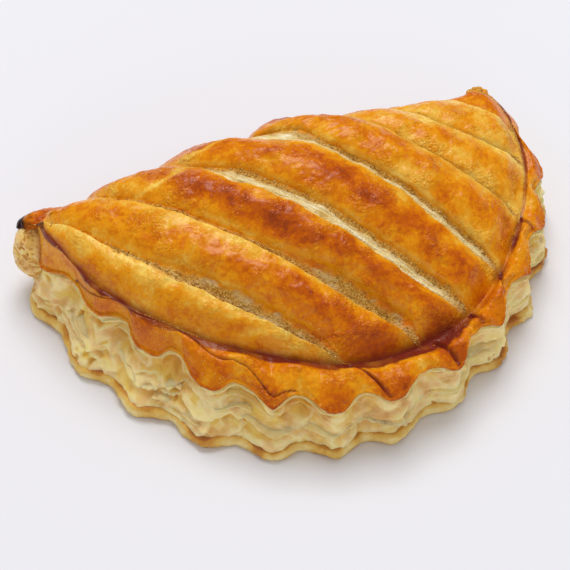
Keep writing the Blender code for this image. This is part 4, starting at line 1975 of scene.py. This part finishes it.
@dataclass
class LooseLeaves:
    """Thin leaves of dough that peel from the side, with torn edges."""

    form: PastryForm
    seed: int = 41
    random_leaves: int = 16
    pitch: float = 0.35
    depth_steps: int = 9
    thickness: float = 0.3
    # How far the leaves are rooted in the side and in the lip, and the side's mean radius.
    root: float = 3.5
    lip_root: float = 4.0
    mean_reach: float = 86.0
    # A random leaf's start and length in degrees, rise, reach, raggedness and droop.
    random_spans: tuple[tuple[float, float], ...] = (
        (8, 160), (4, 11), (0.2, 0.8), (0.3, 0.9), (0.3, 0.8), (0.2, 1.0),
    )
    placed: tuple[Leaf, ...] = (
        Leaf(64.0, 83.0, 0.44, 1.5, 0.9, 1.2),
        Leaf(83.0, 98.0, 0.42, 1.4, 1.0, 1.0),
        Leaf(98.0, 118.0, 0.40, 1.1, 0.8, 0.9),
        Leaf(36.0, 52.0, 0.46, 1.2, 0.8, 0.9),
        Leaf(14.0, 30.0, 0.42, 1.2, 0.6, 0.7),
    )

    def __post_init__(self) -> None:
        """Seeds the noise."""
        self.torn = Grain3D(self.seed)

    def leaves(self) -> list[Leaf]:
        """The placed leaves and the randomly scattered ones.

        Returns:
            Every leaf, in the order it is built.
        """
        draw = np.random.default_rng(self.seed)
        found = list(self.placed)
        for _ in range(self.random_leaves):
            start, length, *shape = (draw.uniform(*span) for span in self.random_spans)
            found.append(Leaf(start, start + length, *shape))
        return found

    def lip_leaf(self, skin: Skin) -> None:
        """The first leaf, which shows as a pale scalloped line just under the whole lip.

        Args:
            skin: Skin that gets its points.
        """
        form = self.form
        angle = np.linspace(6.0, 176.0, 900)
        lip = form.lip(angle)
        steps = np.linspace(0, 1, self.depth_steps)[:, None]
        line = raised(polar(angle, lip), 0.0)
        uneven = 0.7 * self.torn(line, 7.0, 3) + 0.15 * self.torn(line, 1.2)
        reach = -0.2 + uneven - 0.9 * np.maximum(form.teeth(angle), 0)
        radius = lip - self.lip_root + (self.lip_root + reach) * steps
        height = form.brim(angle) - 2.1 - 1.3 * np.maximum(form.teeth(angle), 0)
        height = height - 0.4 * steps**2 + 0.25 * self.torn(line + 9.0, 6.0)
        # Painted light and shade: the lip leaf is darker where it is rooted under the lip and lighter
        # toward its free edge.
        number = skin.add_points(
            raised(polar(angle + 0 * steps, radius), height),
            relief=0.6 + 0.35 * steps + 0 * angle,
            toast=np.clip(0.2 * self.torn(line, 8.0), 0, 1) * steps,
        )
        skin.add_patch(number.T, (0.0, 0.0), (1.0, 0.1))

    def build(self) -> Piece:
        """Builds every leaf as one mesh with a real thickness.

        Returns:
            The new piece, linked to the scene.
        """
        form = self.form
        skin = Skin("loose_leaves")
        self.lip_leaf(skin)
        found = self.leaves()
        steps = np.linspace(0, 1, self.depth_steps)[:, None]
        for index, leaf in enumerate(found):
            length = np.radians(leaf.end - leaf.start) * self.mean_reach
            count = max(8, int(length / self.pitch))
            along = np.linspace(0, 1, count)
            angle = leaf.start + (leaf.end - leaf.start) * along
            base_z = 2.0 + (form.brim(angle) - 3.0) * leaf.rise
            line = raised(polar(angle, form.foot(angle)), base_z + 13.0 * index)
            wander = 0.7 * self.torn(line, 9.0, 2)
            share = ease(leaf.rise * 1.1)
            wall = (form.foot(angle) - 0.7) * (1 - share) + (form.lip(angle) - 1.1) * share
            tear = leaf.ragged * (0.6 * self.torn(line, 2.4, 2) + 0.4 * self.torn(line, 0.9))
            taper = np.sin(np.pi * along) ** 0.5
            reach = np.maximum(leaf.reach * taper + tear * taper, 0.15)
            radius = wall - self.root + (self.root + reach) * steps
            height = base_z + wander - leaf.droop * steps**2 * taper
            # Painted light and shade: each leaf is darker where it is rooted in the side and lighter toward
            # its free edge.
            number = skin.add_points(
                raised(polar(angle + 0 * steps, radius), height),
                relief=0.5 + 0.4 * steps + 0 * angle,
                toast=np.clip(0.5 * self.torn(line, 7.0), 0, 1) * steps,
            )
            low = 0.1 + 0.9 * index / len(found)
            skin.add_patch(number.T, (0.0, low), (1.0, low + 0.85 / len(found)))
        piece = skin.build(form.origin())
        solid = piece.modifiers.new("leaf_thickness", "SOLIDIFY")
        solid.thickness = self.thickness * MM
        solid.offset = 0.0
        return piece


# ------------------------------
# Crumbs and beads


@dataclass
class Scatter:
    """Tiny round grains over the crust: crumbs in the slashes, or beads of set glaze."""

    name: str
    mark: Mark
    count: int
    seed: int
    smallest: float
    largest: float
    floor: float = 0.3
    flatness: float = 1.0

    def build(self, crusts: list[Piece]) -> Piece:
        """Scatters the grains where the crust's value asks for them.

        Args:
            crusts: Pieces whose points carry the value.

        Returns:
            One mesh of all grains.
        """
        spots = []
        normals = []
        weights = []
        for crust in crusts:
            mesh = crust.data
            total = len(mesh.vertices)
            block = {key: np.empty(total, np.float32) for key in (self.mark.value, "cream")}
            for key, found in block.items():
                mesh.attributes[key].data.foreach_get("value", found)
            for key, kept in (("co", spots), ("normal", normals)):
                flat = np.empty(total * 3, np.float32)
                mesh.vertices.foreach_get(key, flat)
                kept.append(flat.reshape(-1, 3))
            asked = np.clip(block[self.mark.value] - self.floor, 0, 1)
            weights.append(asked * (1 - block["cream"]) ** 2)
        spot = np.concatenate(spots)
        normal = np.concatenate(normals)
        weight = np.concatenate(weights)
        draw = np.random.default_rng(self.seed)
        chosen = draw.choice(len(spot), self.count, p=weight / weight.sum())
        size = (self.smallest + (self.largest - self.smallest) * draw.random(self.count) ** 2) * MM
        middle = spot[chosen] + draw.normal(size=(self.count, 3)) * 0.25 * MM * (self.flatness == 1)
        middle += normal[chosen] * size[:, None] * (0.3 * self.flatness)
        ball, faces = self.ball()
        stretch = draw.uniform(0.7, 1.3, size=(self.count, 1, 3))
        points = middle[:, None] + ball[None] * stretch * size[:, None, None]
        corner = faces[None] + (np.arange(self.count) * len(ball))[:, None, None]
        data = bpy.data.meshes.new(self.name)
        data.from_pydata(points.reshape(-1, 3).tolist(), [], corner.reshape(-1, 3).tolist())
        store(data, "shade", np.repeat(draw.uniform(0, 1, self.count), len(ball)))
        data.shade_smooth()
        return add_object(self.name, data)

    @staticmethod
    def ball() -> tuple[Array, Array]:
        """Points and faces of a small round grain.

        Returns:
            Points on a ball of radius 1, and the corners of its faces.
        """
        work = bmesh.new()
        bmesh.ops.create_icosphere(work, subdivisions=1, radius=1.0)
        points = np.array([point.co for point in work.verts])
        faces = np.array([[corner.index for corner in face.verts] for face in work.faces])
        work.free()
        return points, faces


# ------------------------------
# Studio


@dataclass(frozen=True)
class Softbox:
    """Square soft light: its place from the pastry and its side in metres, its power in watts."""

    name: str
    place: tuple[float, float, float]
    size: float
    power: float


@dataclass
class Studio:
    """Pale board, soft lights and the camera."""

    form: PastryForm
    azimuth: float = -22.9
    elevation: float = 50.0
    distance: float = 661.0
    lens: float = 142.5
    sensor: float = 36.0
    target: tuple[float, float, float] = (-4.7, -31.3, 0.0)
    board_size: float = 6.0
    world_colour: str = "#FFFEFC"
    world_strength: float = 0.54
    softboxes: tuple[Softbox, ...] = (
        Softbox("key_softbox", (0.44, 1.36, 2.9), 1.8, 63.0),
        Softbox("front_softbox", (-0.75, -1.78, 0.52), 1.0, 3.2),
        Softbox("window_softbox", (0.35, 0.95, 1.3), 0.25, 1.2),
    )

    def camera(self) -> None:
        """Sets the camera that looks down on the pastry from the front left."""
        turn = math.radians(self.azimuth)
        tilt = math.radians(self.elevation)
        away = Vector(
            (math.sin(turn) * math.cos(tilt), -math.cos(turn) * math.cos(tilt), math.sin(tilt))
        )
        target = Vector(self.form.origin()) + Vector(self.target) * MM
        data = bpy.data.cameras.new("studio_camera")
        data.lens = self.lens
        data.sensor_width = self.sensor
        camera = add_object("studio_camera", data)
        camera.location = target + away * self.distance * MM
        camera.rotation_euler = (-away).to_track_quat("-Z", "Y").to_euler()
        bpy.context.scene.camera = camera

    def board(self) -> None:
        """Lays the board under the pastry."""
        half = self.board_size / 2
        low = float(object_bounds()[0][2])
        data = bpy.data.meshes.new("board")
        corners = [(-half, -half, low), (half, -half, low), (half, half, low), (-half, half, low)]
        data.from_pydata(corners, [], [(0, 1, 2, 3)])
        data.materials.append(PaleBoard().make())
        add_object("board", data)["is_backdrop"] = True

    def hang(self, box: Softbox) -> None:
        """Hangs one soft light, facing the pastry.

        Args:
            box: The light.
        """
        data = bpy.data.lights.new(box.name, "AREA")
        data.shape = "SQUARE"
        data.size = box.size
        data.energy = box.power
        light = add_object(box.name, data)
        light.location = box.place
        light.rotation_euler = (-Vector(box.place)).to_track_quat("-Z", "Y").to_euler()

    def build(self) -> None:
        """Sets camera, board, world and lights."""
        scene = bpy.context.scene
        scene.view_settings.view_transform = "Standard"
        self.camera()
        self.board()
        world = bpy.data.worlds.new("studio_world")
        world.use_nodes = True
        back = world.node_tree.nodes["Background"]
        back.inputs["Color"].default_value = linear(self.world_colour)
        back.inputs["Strength"].default_value = self.world_strength
        world.cycles_visibility.glossy = False
        scene.world = world
        for box in self.softboxes:
            self.hang(box)


def place(piece: Piece, finish: Finish) -> None:
    """Dresses a piece and hangs it on the frame's body.

    Args:
        piece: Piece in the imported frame.
        finish: Its finish.
    """
    piece.data.materials.append(finish.make())
    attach(piece, BODY)
    LOG.info("%s: %d faces", piece.name, len(piece.data.polygons))


def main() -> None:
    """Loads the frame and builds every piece round it."""
    logging.basicConfig(level=logging.INFO, format="%(name)s: %(message)s")
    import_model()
    form = PastryForm()
    line = ScoreLine()
    top = GlazedTop(form, line).build()
    rim = FlutedRim(form, line).build()
    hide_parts(NODE)
    crumbs = Scatter("slash_crumbs", Mark.CRUMBS, 6500, 51, 0.10, 0.28)
    beads = Scatter("glaze_beads", Mark.BEADS, 4500, 52, 0.07, 0.18, floor=0.10, flatness=0.0)
    crumb_shades = ((0.0, "#9A6218"), (0.35, "#BD842A"), (0.7, "#D9A94A"), (1.0, "#F0D088"))
    # The beads' pale golden shades are partly set glaze and partly painted glints.
    bead_and_glint_shades = ((0.0, "#B96412"), (0.5, "#DE9A30"), (1.0, "#F3C568"))
    place(crumbs.build([top]), CaramelGrain("caramel_crumb", crumb_shades))
    place(beads.build([top, rim]), CaramelGrain("glaze_bead_and_glint", bead_and_glint_shades, 0.2))
    place(top, GlazedPuffCrust("glazed_top_crust"))
    place(rim, GlazedPuffCrust("glazed_rim_crust"))
    place(LayeredSide(form).build(), PuffCrumb())
    left = RolledEnd(form, "left_roll_end", middle=(-70.7, -2.4, 14.6), radii=(6.2, 7.2, 9.8), seed=61)
    right = RolledEnd(form, "right_roll_end", middle=(71.0, -2.0, 12.8), radii=(5.6, 5.4, 8.0), seed=63)
    place(left.build(), PuffCrumb("left_end_crumb"))
    knots = (
        CrustKnot(
            form, "left_knot", middle=(-63.2, -3.1, 21.5), reach=12.3, rise=5.9, depth=5.4, seed=66,
            rough=0.35, bake=0.72, burnt_end=1.0,
        ),
        CrustKnot(
            form, "right_knot", middle=(70.3, -3.2, 21.9), reach=3.7, rise=3.3, depth=2.6, seed=67,
            rough=0.9, bake=0.42, grain=0.9,
        ),
    )
    for knot in knots:
        place(knot.build(), GlazedPuffCrust(f"glazed_{knot.name}_crust", caramel="#2A120E"))
    place(right.build(), PuffCrumb("right_end_crumb"))
    place(BaseSheet(form).build(), BakedBase())
    place(LooseLeaves(form).build(), PuffCrumb("puff_leaf"))
    Studio(form).build()


if __name__ == "__main__":
    main()
